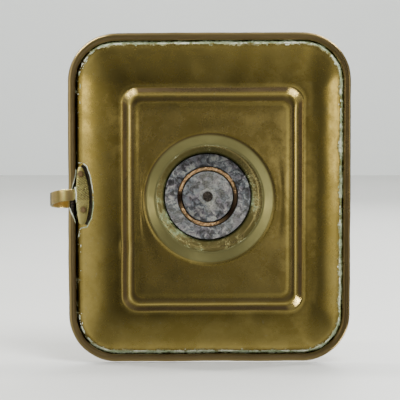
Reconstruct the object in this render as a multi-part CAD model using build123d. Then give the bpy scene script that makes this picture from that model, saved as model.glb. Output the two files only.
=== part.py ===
from build123d import *
import math
import os

# Brass chamberstick: a rectangular tray, a tube for a 22 mm candle, a finger ring, and a push-up ejector.
# Frame: +Z up, origin on the candle tube's axis in the plane that the tray rests on, the ring towards -X.
# The tray is raised by hand, so its rim, its step and its boss are each a little off the tube's axis.

# Tray
SHEET_RISE = 0.9             # thickness of the tray's sheet, measured straight up
RIM_CENTRE = (0.8, 1.0)
STEP_CENTRE = (2.1, 1.25)
BOSS_CENTRE = (0.8, 0.8)

# Rolled rim: the edge of the sheet, turned round an iron wire
RIM_HALF = (65.0, 76.0)      # outside of the roll, half of each side
RIM_CORNER = 22.0
ROLL_RADIUS = 1.85
ROLL_BORE = 1.15
WIRE_RADIUS = 1.1
ROLL_HEIGHT = 13.0           # height of the wire's axis
ROLL_TAIL_DEG = -157.0       # where the roll's cut edge ends: underneath, on the inner side

# Flange, shelf, step and base of the tray, on their undersides
FLANGE_REACH = 5.15          # from the wire's axis in to the edge of the dished part
FLANGE_HEIGHT = 10.65        # at that edge
FLANGE_BEND = (-2.55, 12.5)  # where the flange turns up to the wire: outward of its axis, and height
SHELF_HALF = (41.5, 51.7)
SHELF_CORNER = 7.5
SHELF_HEIGHT = 5.2
BASE_HALF = (34.4, 43.6)
BASE_CORNER = 3.5
DISH_STEPS = 6               # strips in the curve of the flange, and in that of the step

# Round boss raised in the base, with a hole under the stem
BOSS_FOOT = 29.4
BOSS_EDGE = (28.3, 0.4)
BOSS_SHOULDER = (24.9, 3.2)
BOSS_HOLE = 24.0

# Stem foot, spun from brass sheet
FOOT_WALL = 0.7
FOOT_SKIRT = 31.4
SKIRT_BENDS = (1.3, 1.7)     # height where the skirt leans in, inside and outside
FOOT_HIP = (25.9, 4.35)      # underside, where the skirt turns in over the boss
HIP_OUTSIDE = 26.2
SEAT_RADIUS = 19.9           # let-in for the base plate
SEAT_EDGE = 5.0
SEAT_TOP = 6.85
SEAT_OUTSIDE_TOP = 7.35
NECK_BORE = 13.6
NECK_TOP = 20.0
NECK_CURVE = (11.35, 16.0)    # radius of the hollow curve's inside, and height of its centre
NECK_CURVE_LOW = 7.4

# Base plate of tinned iron, let into the foot
PLATE_RADIUS = 19.75
PLATE_BORE = 13.65
PLATE_UNDER = 5.6
PLATE_THICK = 1.2

# Candle tube: a socket reamed for the candle, and a rib under it that the ejector rests on
TUBE_RADIUS = 13.5
TUBE_BORE = 12.1
TUBE_UNDER = 5.4
TUBE_TOP = 80.0
SOCKET_DEPTH = 30.0
SOCKET_FLOOR = TUBE_TOP - SOCKET_DEPTH
GUIDE_BORE = 11.9            # below the socket, where the ejector runs
PLATFORM_TOP = SOCKET_FLOOR - 0.3
RIB_TOP = PLATFORM_TOP - 2.0
RIB_BORE = 10.6
RIB_THICK = 1.2
GROOVE_DEPTH = 0.5

# Collar over the joint of foot and tube, and drip ring round the tube's mouth
COLLAR_RADIUS = 16.8
COLLAR_SHOULDER = 15.0
COLLAR_FILLET = 0.6          # height of the plain edge above and below the bead
COLLAR_HEIGHT = 5.0
DRIP_FOOT = 73.5
DRIP_BORE = 13.55
DRIP_WALL = 0.8
DRIP_SLEEVE_TOP = 75.3
DRIP_UNDER = (15.5, 76.1), (18.3, 76.5), (20.9, 77.6)
DRIP_OVER = (20.9, 79.0), (18.5, 77.4), (15.6, 77.0), (13.55, 77.4)
DRIP_EDGE = 1.1
DRIP_EDGE_CENTRE = (20.9, 78.4)

# Ejector: a button, a rod and a platform that slide together in the tube
TENON_RADIUS = 1.4
ROD_RADIUS = 2.0
HEAD_RADIUS = 2.3
HEAD_HEIGHT = 0.6
HEAD_SHOULDER = (1.4, 0.42)  # radius, and height there
BUTTON_RADIUS = 11.6
BUTTON_UNDER = 5.6
BUTTON_THICK = 1.3
PLATFORM_RADIUS = 11.6
PLATFORM_THICK = 1.0
LEATHER_RADIUS = 11.4
LEATHER_THICK = 0.7
BURR_RADIUS = 4.0
BURR_THICK = 0.9

# Finger ring: a strap that starts at the saddle plate, goes round, and curls away at its free end
STRAP_THICK = 1.5
RING_RADIUS = 12.25          # of the strap's middle
RING_CENTRE = (-60.2, 21.95)  # x and height
RING_SWEEP = 250.0
CURL_RADIUS = 4.5
CURL_SWEEP = 75.0
STRAP_ROOT = (-59.9, -0.6)
STRAP_LEAN = 4.3             # how far the top of the ring leans to +Y
STRAP_WIDTHS = (5.1, 6.8)    # at the root and past the top
RING_STEPS = 25
CURL_STEPS = 8

# Saddle plate under the flange, and its rivets
SADDLE_THICK = 1.5
SADDLE_SLOPE = 16.0
SADDLE_INNER = (-53.9, 8.7)  # x and height of its top face's inner edge
SADDLE_TIP = (-59.3, -12.3), (-58.2, -13.4), (-56.9, -12.4)
SADDLE_TOE = (-55.6, 12.0), (-57.2, 13.2), (-58.9, 12.0)
SADDLE_SIDES = (-53.9, 2.5), (-60.2, -1.0)
SADDLE_NOTCH = 5.2           # width of the notch for the strap's root
CUTTER = 60.0                # longer than anything that it cuts
RIVETS = (-56.7, -10.1), (-55.6, 6.1)  # where their axes cross the flange's underside
RIVET_SLOPE = 29.4           # the flange's own slope there
RIVET_RADIUS = 0.9
RIVET_HOLE = 0.95
RIVET_HEAD = 1.5
RIVET_DOME = 1.2
RIVET_DOME_HEIGHT = 0.5
RIVET_HEAD_HEIGHT = 0.7
SHANK_LENGTH = 8.0
WASHER_RADIUS = 2.0
WASHER_THICK = 0.5
WASHER_SEAT = 1.05           # from the flange's underside up to the washer


def mix(a, b, share):
    return a + (b - a) * share


def mix_pair(a, b, share):
    return mix(a[0], b[0], share), mix(a[1], b[1], share)


def outline(half, corner, centre, height):
    """A rounded rectangle at a height."""
    return Pos(centre[0], centre[1], height) * RectangleRounded(2 * half[0], 2 * half[1], corner)


def outline_between(a, b, share, height):
    """The outline part of the way from a to b, each given as half sizes, corner radius and centre."""
    corner = mix(a[1], b[1], share)
    return outline(mix_pair(a[0], b[0], share), corner, mix_pair(a[2], b[2], share), height)


def turned(*points):
    """A ring turned about Z from a closed outline of (radius, height) points."""
    return revolve(Plane.XZ * make_face(Polyline(*points, close=True)), Axis.Z)


def disc(radius, under, thick, bore=0.0):
    """A round plate, bored for the rod."""
    return turned((bore, under), (radius, under), (radius, under + thick), (bore, under + thick))


def rim_line(inwards):
    """Half sizes, corner radius and centre of a line that runs inside the wire's axis."""
    back = ROLL_RADIUS + inwards
    return (RIM_HALF[0] - back, RIM_HALF[1] - back), RIM_CORNER - back, RIM_CENTRE


def dish():
    """What the tray holds and its sheet, down to the underside, out to the edge of the dished flange."""
    base = BASE_HALF, BASE_CORNER, STEP_CENTRE
    shelf = SHELF_HALF, SHELF_CORNER, STEP_CENTRE
    edge = rim_line(FLANGE_REACH)
    sections = []
    for i in range(DISH_STEPS):
        share = i / DISH_STEPS
        height = SHELF_HEIGHT * (1 - math.cos(math.pi * share)) / 2
        sections.append(outline_between(base, shelf, share, height))
    for i in range(DISH_STEPS + 1):
        share = i / DISH_STEPS
        sections.append(outline_between(shelf, edge, share, mix(SHELF_HEIGHT, FLANGE_HEIGHT, share**2)))
    sections.append(outline(*edge, FLANGE_HEIGHT + SHEET_RISE))
    return loft(sections, ruled=True)


def rim_path():
    """The wire's axis, and the plane across it where a profile starts."""
    path = outline(*rim_line(0), ROLL_HEIGHT).face().outer_wire()
    return path, Plane(origin=path @ 0, z_dir=path % 0, x_dir=(path % 0).cross(Vector(0, 0, 1)))


def rolled_rim():
    """The outer part of the flange, and the roll that goes round the wire and ends in a cut edge."""
    path, across = rim_path()
    to_centre = Vector(*RIM_CENTRE, ROLL_HEIGHT) - across.origin
    outward = -1 if across.x_dir.dot(to_centre) > 0 else 1
    upward = 1 if across.y_dir.Z > 0 else -1

    def at(out, height):
        return outward * out, upward * (height - ROLL_HEIGHT)

    def on_circle(radius, degrees):
        angle = math.radians(degrees)
        return at(radius * math.cos(angle), ROLL_HEIGHT + radius * math.sin(angle))

    drop = ROLL_HEIGHT - FLANGE_BEND[1]
    rise = math.atan2(drop, -FLANGE_BEND[0]) + math.asin(ROLL_BORE / math.hypot(drop, FLANGE_BEND[0]))
    touch = 90 + math.degrees(rise)
    middle = (touch + ROLL_TAIL_DEG) / 2
    inner = [on_circle(ROLL_BORE, angle) for angle in (touch, middle, ROLL_TAIL_DEG)]
    outer = [on_circle(ROLL_RADIUS, angle) for angle in (ROLL_TAIL_DEG, middle, touch)]
    under = at(-FLANGE_REACH, FLANGE_HEIGHT)
    over = at(-FLANGE_REACH, FLANGE_HEIGHT + SHEET_RISE)
    flange = Polyline(outer[2], over, under, at(*FLANGE_BEND), inner[0])
    profile = flange + ThreePointArc(*inner) + Line(inner[2], outer[0]) + ThreePointArc(*outer)
    return sweep(across * make_face(profile), path=path)


def boss():
    """The raised ring of the base, from its foot up to the hole under the stem."""
    under = (BOSS_FOOT, 0), BOSS_EDGE, BOSS_SHOULDER, (BOSS_HOLE, BOSS_SHOULDER[1])
    over = [(r, z + SHEET_RISE) for r, z in reversed(under)]
    return Pos(*BOSS_CENTRE, 0) * turned(*under, *over)


def tray():
    solid = dish()
    sheet = solid - Pos(0, 0, SHEET_RISE) * solid
    sheet -= Pos(*BOSS_CENTRE, 0) * Cylinder(BOSS_FOOT, 2 * SHELF_HEIGHT)
    sheet += boss()
    sheet += rolled_rim()
    for x, y in RIVETS:
        sheet -= rivet_frame(x, y) * Cylinder(RIVET_HOLE, 4 * SHEET_RISE)
    return sheet


def rim_wire():
    path, across = rim_path()
    return sweep(across * Circle(WIRE_RADIUS), path=path)


def neck_curve(wall, low):
    """A hollow curve about the foot's neck, from its top down to a height."""
    bend, height = NECK_CURVE
    radius = bend - wall

    def at(z):
        return NECK_BORE + bend - math.sqrt(radius**2 - (height - z) ** 2), z

    return ThreePointArc(at(height), at((height + low) / 2), at(low))


def stem_foot():
    """A low skirt over the boss, a seat for the base plate, and a hollow curve up to the neck."""
    skirt = FOOT_SKIRT - FOOT_WALL
    neck = NECK_BORE + FOOT_WALL
    seat = SEAT_RADIUS + FOOT_WALL
    inner = neck_curve(0, NECK_CURVE_LOW)
    outer = neck_curve(FOOT_WALL, NECK_CURVE_LOW + FOOT_WALL)
    top = Polyline(inner @ 0, (NECK_BORE, NECK_TOP), (neck, NECK_TOP), outer @ 0)
    skirts = Polyline(
        outer @ 1, (seat, SEAT_OUTSIDE_TOP), (seat, SEAT_EDGE + FOOT_WALL),
        (HIP_OUTSIDE, FOOT_HIP[1] + FOOT_WALL), (FOOT_SKIRT, SKIRT_BENDS[1]), (FOOT_SKIRT, SHEET_RISE),
        (skirt, SHEET_RISE), (skirt, SKIRT_BENDS[0]), FOOT_HIP,
        (SEAT_RADIUS, SEAT_EDGE), (SEAT_RADIUS, SEAT_TOP), inner @ 1,
    )
    return revolve(Plane.XZ * make_face(inner + top + outer + skirts), Axis.Z)


def base_plate():
    return disc(PLATE_RADIUS, PLATE_UNDER, PLATE_THICK, PLATE_BORE)


def candle_tube():
    rib_under = RIB_TOP - RIB_THICK
    groove = TUBE_RADIUS - GROOVE_DEPTH
    return turned(
        (GUIDE_BORE, TUBE_UNDER), (TUBE_RADIUS, TUBE_UNDER), (TUBE_RADIUS, rib_under - GROOVE_DEPTH),
        (groove, rib_under), (groove, RIB_TOP), (TUBE_RADIUS, RIB_TOP + GROOVE_DEPTH), (TUBE_RADIUS, TUBE_TOP),
        (TUBE_BORE, TUBE_TOP), (TUBE_BORE, SOCKET_FLOOR), (GUIDE_BORE, SOCKET_FLOOR), (GUIDE_BORE, RIB_TOP),
        (RIB_BORE, RIB_TOP), (RIB_BORE, rib_under), (GUIDE_BORE, rib_under),
    )


def tube_collar():
    """A ring with a round bead between two fillets."""
    top = NECK_TOP + COLLAR_HEIGHT
    low = COLLAR_SHOULDER, NECK_TOP + COLLAR_FILLET
    widest = COLLAR_RADIUS, NECK_TOP + COLLAR_HEIGHT / 2
    high = COLLAR_SHOULDER, top - COLLAR_FILLET
    bead = ThreePointArc(low, widest, high)
    corners = (COLLAR_SHOULDER, top), (NECK_BORE, top), (NECK_BORE, NECK_TOP), (COLLAR_SHOULDER, NECK_TOP)
    return revolve(Plane.XZ * make_face(bead + Polyline(high, *corners, low)), Axis.Z)


def drip_ring():
    """A sleeve on the tube, spread to a shallow pan with a round edge."""
    sleeve = DRIP_BORE + DRIP_WALL
    foot = (DRIP_BORE, DRIP_FOOT), (sleeve, DRIP_FOOT), (sleeve, DRIP_SLEEVE_TOP)
    pan = make_face(Polyline(*foot, *DRIP_UNDER, *DRIP_OVER, close=True))
    profile = pan + Pos(*DRIP_EDGE_CENTRE) * Circle(DRIP_EDGE)
    return revolve(Plane.XZ * profile, Axis.Z)


def push_button():
    return disc(BUTTON_RADIUS, BUTTON_UNDER, BUTTON_THICK, TENON_RADIUS)


def button_burr():
    return disc(BURR_RADIUS, BUTTON_UNDER + BUTTON_THICK, BURR_THICK, TENON_RADIUS)


def ejector_platform():
    return disc(PLATFORM_RADIUS, PLATFORM_TOP - PLATFORM_THICK, PLATFORM_THICK, TENON_RADIUS)


def platform_leather():
    return disc(LEATHER_RADIUS, PLATFORM_TOP - PLATFORM_THICK - LEATHER_THICK, LEATHER_THICK, TENON_RADIUS)


def platform_burr():
    top = PLATFORM_TOP - PLATFORM_THICK - LEATHER_THICK
    return disc(BURR_RADIUS, top - BURR_THICK, BURR_THICK, TENON_RADIUS)


def ejector_rod():
    """A rod with a tenon at each end, and the domed head that rivets it under the button."""
    low = BUTTON_UNDER + BUTTON_THICK + BURR_THICK
    high = PLATFORM_TOP - PLATFORM_THICK - LEATHER_THICK - BURR_THICK
    shoulder = HEAD_SHOULDER[0], BUTTON_UNDER - HEAD_SHOULDER[1]
    head = ThreePointArc((0, BUTTON_UNDER - HEAD_HEIGHT), shoulder, (HEAD_RADIUS, BUTTON_UNDER))
    rest = Polyline(
        head @ 1, (TENON_RADIUS, BUTTON_UNDER), (TENON_RADIUS, low), (ROD_RADIUS, low), (ROD_RADIUS, high),
        (TENON_RADIUS, high), (TENON_RADIUS, PLATFORM_TOP), (0, PLATFORM_TOP), head @ 0,
    )
    return revolve(Plane.XZ * make_face(head + rest), Axis.Z)


def strap_stations():
    """Points of the strap's middle line, with its heading in degrees and how far round the ring it is."""
    x, z = RING_CENTRE
    yield STRAP_ROOT[0], z - RING_RADIUS, 180.0, 0.0
    for i in range(RING_STEPS + 1):
        turn = RING_SWEEP * i / RING_STEPS
        angle = math.radians(-90 - turn)
        yield x + RING_RADIUS * math.cos(angle), z + RING_RADIUS * math.sin(angle), 180 - turn, turn
    out = math.radians(-90 - RING_SWEEP)
    reach = RING_RADIUS + CURL_RADIUS
    curl_x, curl_z = x + reach * math.cos(out), z + reach * math.sin(out)
    for i in range(1, CURL_STEPS + 1):
        turn = CURL_SWEEP * i / CURL_STEPS
        angle = out + math.pi + math.radians(turn)
        heading = 180 - RING_SWEEP + turn
        yield curl_x + CURL_RADIUS * math.cos(angle), curl_z + CURL_RADIUS * math.sin(angle), heading, RING_SWEEP


def handle_strap():
    root_height = RING_CENTRE[1] - RING_RADIUS
    sections = []
    for x, z, heading, turn in strap_stations():
        share = min(turn, 180) / 180
        climb = (z - root_height) / (2 * RING_RADIUS)
        lean = STRAP_LEAN * math.sin(math.pi / 2 * climb)
        along = Vector(math.cos(math.radians(heading)), 0, math.sin(math.radians(heading)))
        across = Plane(origin=(x, STRAP_ROOT[1] + lean, z), x_dir=(0, 1, 0), z_dir=along)
        sections.append(across * Rectangle(mix(*STRAP_WIDTHS, share), STRAP_THICK))
    return loft(sections, ruled=True)


def saddle_slab(thick, drop=0.0):
    """A wide slab in the saddle plate's slope, hung below the plate's top face."""
    frame = Plane(origin=(SADDLE_INNER[0], 0, SADDLE_INNER[1])).rotated((0, SADDLE_SLOPE, 0))
    return frame * Pos(0, 0, -drop - thick / 2) * Box(CUTTER, CUTTER, thick)


def handle_plate():
    """A leaf-shaped plate, notched where the strap's root butts against it."""
    rim = ThreePointArc(*SADDLE_TIP) + ThreePointArc(SADDLE_TIP[2], SADDLE_SIDES[0], SADDLE_TOE[0])
    rim += ThreePointArc(*SADDLE_TOE) + ThreePointArc(SADDLE_TOE[2], SADDLE_SIDES[1], SADDLE_TIP[0])
    leaf = extrude(make_face(rim), 2 * ROLL_HEIGHT)
    plate = leaf & saddle_slab(SADDLE_THICK)
    plate -= Pos(STRAP_ROOT[0] - CUTTER / 2, STRAP_ROOT[1], 0) * Box(CUTTER, SADDLE_NOTCH, CUTTER)
    for x, y in RIVETS:
        plate -= rivet_frame(x, y) * Cylinder(RIVET_HOLE, 8 * SADDLE_THICK)
    return plate


def flange_under(x):
    """Height of the flange's underside on the handle's side, in the outermost strip of its curve."""
    edge = RIM_CENTRE[0] - RIM_HALF[0] + ROLL_RADIUS + FLANGE_REACH
    shelf = STEP_CENTRE[0] - SHELF_HALF[0]
    strip = 1 - 1 / DISH_STEPS
    low = mix(SHELF_HEIGHT, FLANGE_HEIGHT, strip**2)
    return mix(low, FLANGE_HEIGHT, ((x - shelf) / (edge - shelf) - strip) / (1 - strip))


def rivet_frame(x, y):
    """A rivet's frame: on the flange's underside, with its Z up through the sheet."""
    return Plane(origin=(x, y, flange_under(x))).rotated((0, RIVET_SLOPE, 0)).location


def handle_rivets():
    """Two rivets, each headed over its washer and closed in a low dome under the plate."""
    solids = []
    for x, y in RIVETS:
        frame = rivet_frame(x, y)
        top = WASHER_SEAT + WASHER_THICK
        shank = frame * Pos(0, 0, top - SHANK_LENGTH / 2) * Cylinder(RIVET_RADIUS, SHANK_LENGTH)
        shank -= saddle_slab(CUTTER, SADDLE_THICK)
        cap = Pos(0, 0, RIVET_HEAD_HEIGHT / 2) * Cylinder(RIVET_HEAD, RIVET_HEAD_HEIGHT)
        head = frame * Pos(0, 0, top) * (Sphere(RIVET_HEAD) & cap)
        foot = saddle_foot(x, y) * Sphere(RIVET_DOME) & saddle_slab(RIVET_DOME_HEIGHT, SADDLE_THICK)
        solids.append(shank + head + foot)
    return solids


def saddle_foot(x, y):
    """Where a rivet's axis leaves the plate's lower face."""
    rise = math.tan(math.radians(RIVET_SLOPE))
    tilt = math.tan(math.radians(SADDLE_SLOPE))
    low = SADDLE_INNER[1] - SADDLE_THICK / math.cos(math.radians(SADDLE_SLOPE))
    gap = flange_under(x) - (low + (SADDLE_INNER[0] - x) * tilt)
    down = gap / (1 + rise * tilt)
    return Pos(x - down * rise, y, flange_under(x) - down)


def rivet_washers():
    washer = Cylinder(WASHER_RADIUS, WASHER_THICK) - Cylinder(RIVET_HOLE, 2 * WASHER_THICK)
    seat = Pos(0, 0, WASHER_SEAT + WASHER_THICK / 2)
    return [rivet_frame(x, y) * seat * washer for x, y in RIVETS]


NODES = (
    tray, rim_wire, stem_foot, base_plate, candle_tube, tube_collar, drip_ring,
    handle_strap, handle_plate, handle_rivets, rivet_washers,
    push_button, button_burr, ejector_rod, ejector_platform, platform_leather, platform_burr,
)

os.makedirs("parts", exist_ok=True)
for node in NODES:
    made = node()
    solids = made if isinstance(made, list) else made.solids()
    shape = solids[0] if len(solids) == 1 else Compound(children=list(solids))
    export_step(shape, f"parts/{node.__name__}.step")
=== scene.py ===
# %% [markdown]
# # An old brass chamberstick, stood on edge to show its underside
# A chamberstick is a candlestick with a tray and a finger ring, for carrying a light to bed. This one has
# a rectangular brass tray with a wired rim, a round stem foot, and a push-up ejector whose grey button
# shows in the middle of the underside. The CAD model is the fixed frame. This file gives it the surface
# of a thing that was raised by hand, polished for a century, and then left to go green in its crevices.

# %% Load the frame
import math

import bmesh
import bpy
import numpy as np
from mathutils import Matrix, Vector, noise
from mathutils.bvhtree import BVHTree


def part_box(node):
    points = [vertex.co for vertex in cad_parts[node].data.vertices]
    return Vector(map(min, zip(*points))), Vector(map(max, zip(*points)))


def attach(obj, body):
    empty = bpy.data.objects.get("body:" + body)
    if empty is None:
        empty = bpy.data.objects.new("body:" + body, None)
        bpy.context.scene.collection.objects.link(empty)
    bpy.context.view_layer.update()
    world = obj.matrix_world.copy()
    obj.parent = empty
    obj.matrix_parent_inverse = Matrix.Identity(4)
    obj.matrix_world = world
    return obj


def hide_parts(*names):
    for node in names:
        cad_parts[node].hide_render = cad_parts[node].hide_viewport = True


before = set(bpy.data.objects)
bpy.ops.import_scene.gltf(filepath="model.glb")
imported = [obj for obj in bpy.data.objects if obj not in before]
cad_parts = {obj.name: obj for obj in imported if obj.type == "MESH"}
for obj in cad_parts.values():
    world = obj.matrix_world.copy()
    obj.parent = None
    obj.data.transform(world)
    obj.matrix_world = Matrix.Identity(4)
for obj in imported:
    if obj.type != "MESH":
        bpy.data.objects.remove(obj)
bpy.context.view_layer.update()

# %% [markdown]
# ## Measures
# Every size below is in millimetres, as a smith would say it, and turned into metres only when a mesh is
# made. The places come from the frame: the stick's axis is the frame's own Z, and the tray's box gives
# its rim.

# %% Measures taken from the frame
MM = 0.001
tray_low, tray_high = (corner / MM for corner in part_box("tray"))
RIM_CENTRE = np.array([(tray_low.x + tray_high.x) / 2, (tray_low.y + tray_high.y) / 2])
RIM_HALF = np.array([(tray_high.x - tray_low.x) / 2, (tray_high.y - tray_low.y) / 2])
ROLL_RADIUS = 1.85
ROLL_HEIGHT = tray_high.z - ROLL_RADIUS
print("rim centre", RIM_CENTRE, "half sizes", RIM_HALF, "wire at", ROLL_HEIGHT)

# %% [markdown]
# ## Camera
# The stick stands on one short edge, so its underside, which faces -Z, is what a viewer in front of it
# sees. The camera is therefore under the stick, a little towards -Y, and -Y is up in the picture. A long
# lens far away keeps the tray's sides nearly parallel, as a product camera would.

# %% Camera
CAMERA_DISTANCE = 690.0
CAMERA_PITCH = math.radians(3.4)
FIELD = 183.5                       # width of the picture in the rim's plane
aim = Vector((-3.5, 2.0, ROLL_HEIGHT))
towards_camera = Vector((0, -math.sin(CAMERA_PITCH), -math.cos(CAMERA_PITCH)))
camera_data = bpy.data.cameras.new("camera")
camera = bpy.data.objects.new("camera", camera_data)
bpy.context.scene.collection.objects.link(camera)
camera.location = (aim + towards_camera * CAMERA_DISTANCE) * MM
picture_right = Vector((1, 0, 0))
picture_up = towards_camera.cross(picture_right)
turn = np.array([picture_right, picture_up, towards_camera]).T
camera.rotation_mode = "QUATERNION"
camera.rotation_quaternion = Matrix(turn.tolist()).to_quaternion()
camera_data.sensor_width = 36.0
camera_data.lens = camera_data.sensor_width * CAMERA_DISTANCE / FIELD
camera_data.clip_start, camera_data.clip_end = 0.01, 20.0
bpy.context.scene.camera = camera
print("lens", camera_data.lens)

# %% [markdown]
# ## Studio
# The stick stands on a pale table against a pale wall. In the frame's own axes the table is the plane
# just past the tray's +Y edge, and the wall is far behind it, at +Z. Both are one-sided: seen from their
# backs they let the camera through, so the stick can be looked at from every side. Brass is a mirror for
# what stands round it, so the lights matter more than any colour. Three narrow softboxes make the sparks
# on the step's corners, two at the sides and two upright strips light the flange, and one lights the
# stem. Two more light only the room. The sky is bright or dark by direction, and stays dark round the
# camera.

# %% Node helpers
def put(tree, kind, inputs=None, **settings):
    """Adds a node, sets its options, and sets or links its inputs."""
    node = tree.nodes.new(kind)
    for name, value in settings.items():
        setattr(node, name, value)
    for key, value in (inputs or {}).items():
        if isinstance(value, bpy.types.NodeSocket):
            tree.links.new(value, node.inputs[key])
        else:
            node.inputs[key].default_value = value
    return node


def calc(tree, operation, *values, clamp=False):
    """One sum on numbers or sockets."""
    node = put(tree, "ShaderNodeMath", dict(enumerate(values)), operation=operation, use_clamp=clamp)
    return node.outputs[0]


def times(tree, first, second, clamp=False):
    """A product of two numbers or sockets."""
    return calc(tree, "MULTIPLY", first, second, clamp=clamp)


def plus(tree, first, *others):
    """A sum of numbers or sockets."""
    for other in others:
        first = calc(tree, "ADD", first, other)
    return first


def weighted(tree, *pairs):
    """A sum of values, each times its weight."""
    return plus(tree, *(times(tree, value, weight) for value, weight in pairs))


def blend_colour(tree, share, first, second):
    """Mixes two colours, given as sockets or as red, green and blue."""
    pair = [c if isinstance(c, bpy.types.NodeSocket) else (*c, 1.0) for c in (first, second)]
    return put(tree, "ShaderNodeMix", {0: share, 6: pair[0], 7: pair[1]}, data_type="RGBA").outputs[2]


def span(tree, value, low, high, to_low=0.0, to_high=1.0):
    """Eases a value from one range into another, and holds it at the ends."""
    names = {"Value": value, "From Min": low, "From Max": high, "To Min": to_low, "To Max": to_high}
    return put(tree, "ShaderNodeMapRange", names, interpolation_type="SMOOTHSTEP").outputs["Result"]


def cloud(tree, place, scale, detail=4.0, rough=0.55, distort=0.0):
    """Cloudy noise from 0 to 1. The scale is in clouds per millimetre."""
    names = {"Vector": place, "Scale": scale, "Detail": detail, "Roughness": rough, "Distortion": distort}
    return put(tree, "ShaderNodeTexNoise", names).outputs["Fac"]


def place_in_mm(tree):
    """The shaded point in the frame's own axes, in millimetres."""
    at = put(tree, "ShaderNodeTexCoord").outputs["Object"]
    return put(tree, "ShaderNodeVectorMath", {0: at, 3: 1 / MM}, operation="SCALE").outputs[0]


def painted(tree, name):
    """A mask that the mesh carries at its points."""
    return put(tree, "ShaderNodeAttribute", attribute_name=name).outputs["Fac"]


# %% Table and wall
def one_sided(name, colour, rough):
    """A matt stage material that is only seen from its front."""
    material = bpy.data.materials.new(name)
    material.use_nodes = True
    tree = material.node_tree
    tree.nodes.clear()
    grain = cloud(tree, put(tree, "ShaderNodeTexCoord").outputs["Object"], 3.0)
    tone = blend_colour(tree, span(tree, grain, 0.3, 0.7), colour, [c * 0.97 for c in colour])
    paint = put(tree, "ShaderNodeBsdfPrincipled", {"Base Color": tone, "Roughness": rough})
    clear = put(tree, "ShaderNodeBsdfTransparent")
    back = put(tree, "ShaderNodeNewGeometry").outputs["Backfacing"]
    either = put(tree, "ShaderNodeMixShader", {0: back, 1: paint.outputs[0], 2: clear.outputs[0]})
    put(tree, "ShaderNodeOutputMaterial", {"Surface": either.outputs[0]})
    return material


def stage_plane(name, corners, material):
    """A flat stage piece from four corners in metres, front side where they run anticlockwise."""
    mesh = bpy.data.meshes.new(name)
    mesh.from_pydata(corners, [], [(0, 1, 2, 3)])
    mesh.materials.append(material)
    plane = bpy.data.objects.new(name, mesh)
    bpy.context.scene.collection.objects.link(plane)


TABLE_Y = (RIM_CENTRE[1] + RIM_HALF[1] + 0.2) * MM
WALL_Z = 2.03
table_paint = one_sided("table_paint", (0.64, 0.65, 0.62), 0.55)
wall_paint = one_sided("wall_paint", (0.94, 0.97, 0.95), 0.9)
STAGE_REACH, STAGE_FRONT, STAGE_TOP = 3.0, -1.5, -3.0
stage_plane("table", [(-STAGE_REACH, TABLE_Y, STAGE_FRONT), (STAGE_REACH, TABLE_Y, STAGE_FRONT),
                      (STAGE_REACH, TABLE_Y, WALL_Z), (-STAGE_REACH, TABLE_Y, WALL_Z)], table_paint)
stage_plane("wall", [(-STAGE_REACH, TABLE_Y, WALL_Z), (STAGE_REACH, TABLE_Y, WALL_Z),
                     (STAGE_REACH, STAGE_TOP, WALL_Z), (-STAGE_REACH, STAGE_TOP, WALL_Z)], wall_paint)
print("table at y", TABLE_Y, "wall at z", WALL_Z)


# %% Lights
STICK = (0, 0, 0.01)


def softbox(name, at, width, height, power, colour=(1, 1, 1), aim_at=STICK):
    """A rectangular light, with its place in metres, turned to face a point."""
    data = bpy.data.lights.new(name, "AREA")
    data.shape = "RECTANGLE"
    data.size, data.size_y = width, height
    data.energy = power
    data.color = colour
    light = bpy.data.objects.new(name, data)
    light.location = at
    light.rotation_mode = "QUATERNION"
    light.rotation_quaternion = (Vector(aim_at) - Vector(at)).to_track_quat("-Z", "Y")
    bpy.context.scene.collection.objects.link(light)
    return light


WHITE, WARM, GOLDEN = (1.0, 0.98, 0.95), (1.0, 0.97, 0.92), (1.0, 0.91, 0.74)
softbox("spark_upper_left", (-0.50, -0.68, 0.13), 0.50, 0.12, 7.0, WHITE)
softbox("spark_upper_right", (0.50, -0.70, 0.13), 0.42, 0.12, 5.5, WHITE)
softbox("spark_lower_right", (0.58, 0.46, 0.12), 0.32, 0.11, 3.6, (1.0, 0.97, 0.93))
softbox("side_left", (-0.90, -0.11, -0.38), 0.20, 0.32, 0.36, GOLDEN)
softbox("side_right", (0.93, -0.06, -0.26), 0.20, 0.30, 0.30, GOLDEN)
softbox("strip_right", (0.26, 0.04, -0.72), 0.07, 0.55, 0.06, WARM)
softbox("strip_left", (-0.28, -0.05, -0.70), 0.07, 0.45, 0.06, WARM)
for_the_room = [softbox("overhead", (0.0, -1.5, 1.10), 2.6, 1.2, 41.0, aim_at=(0, 0.1, 1.45)),
                softbox("table_front", (0.30, -0.75, -0.45), 0.4, 0.3, 13.0, aim_at=(0.1, 0.08, -0.1))]
softbox("stem_side", (0.35, -0.55, 0.9), 0.5, 0.5, 6.0)

for thing in [*for_the_room, bpy.data.objects["table"], bpy.data.objects["wall"]]:
    thing.visible_glossy = False    # these light the room and are kept out of the metal's reflections

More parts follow.
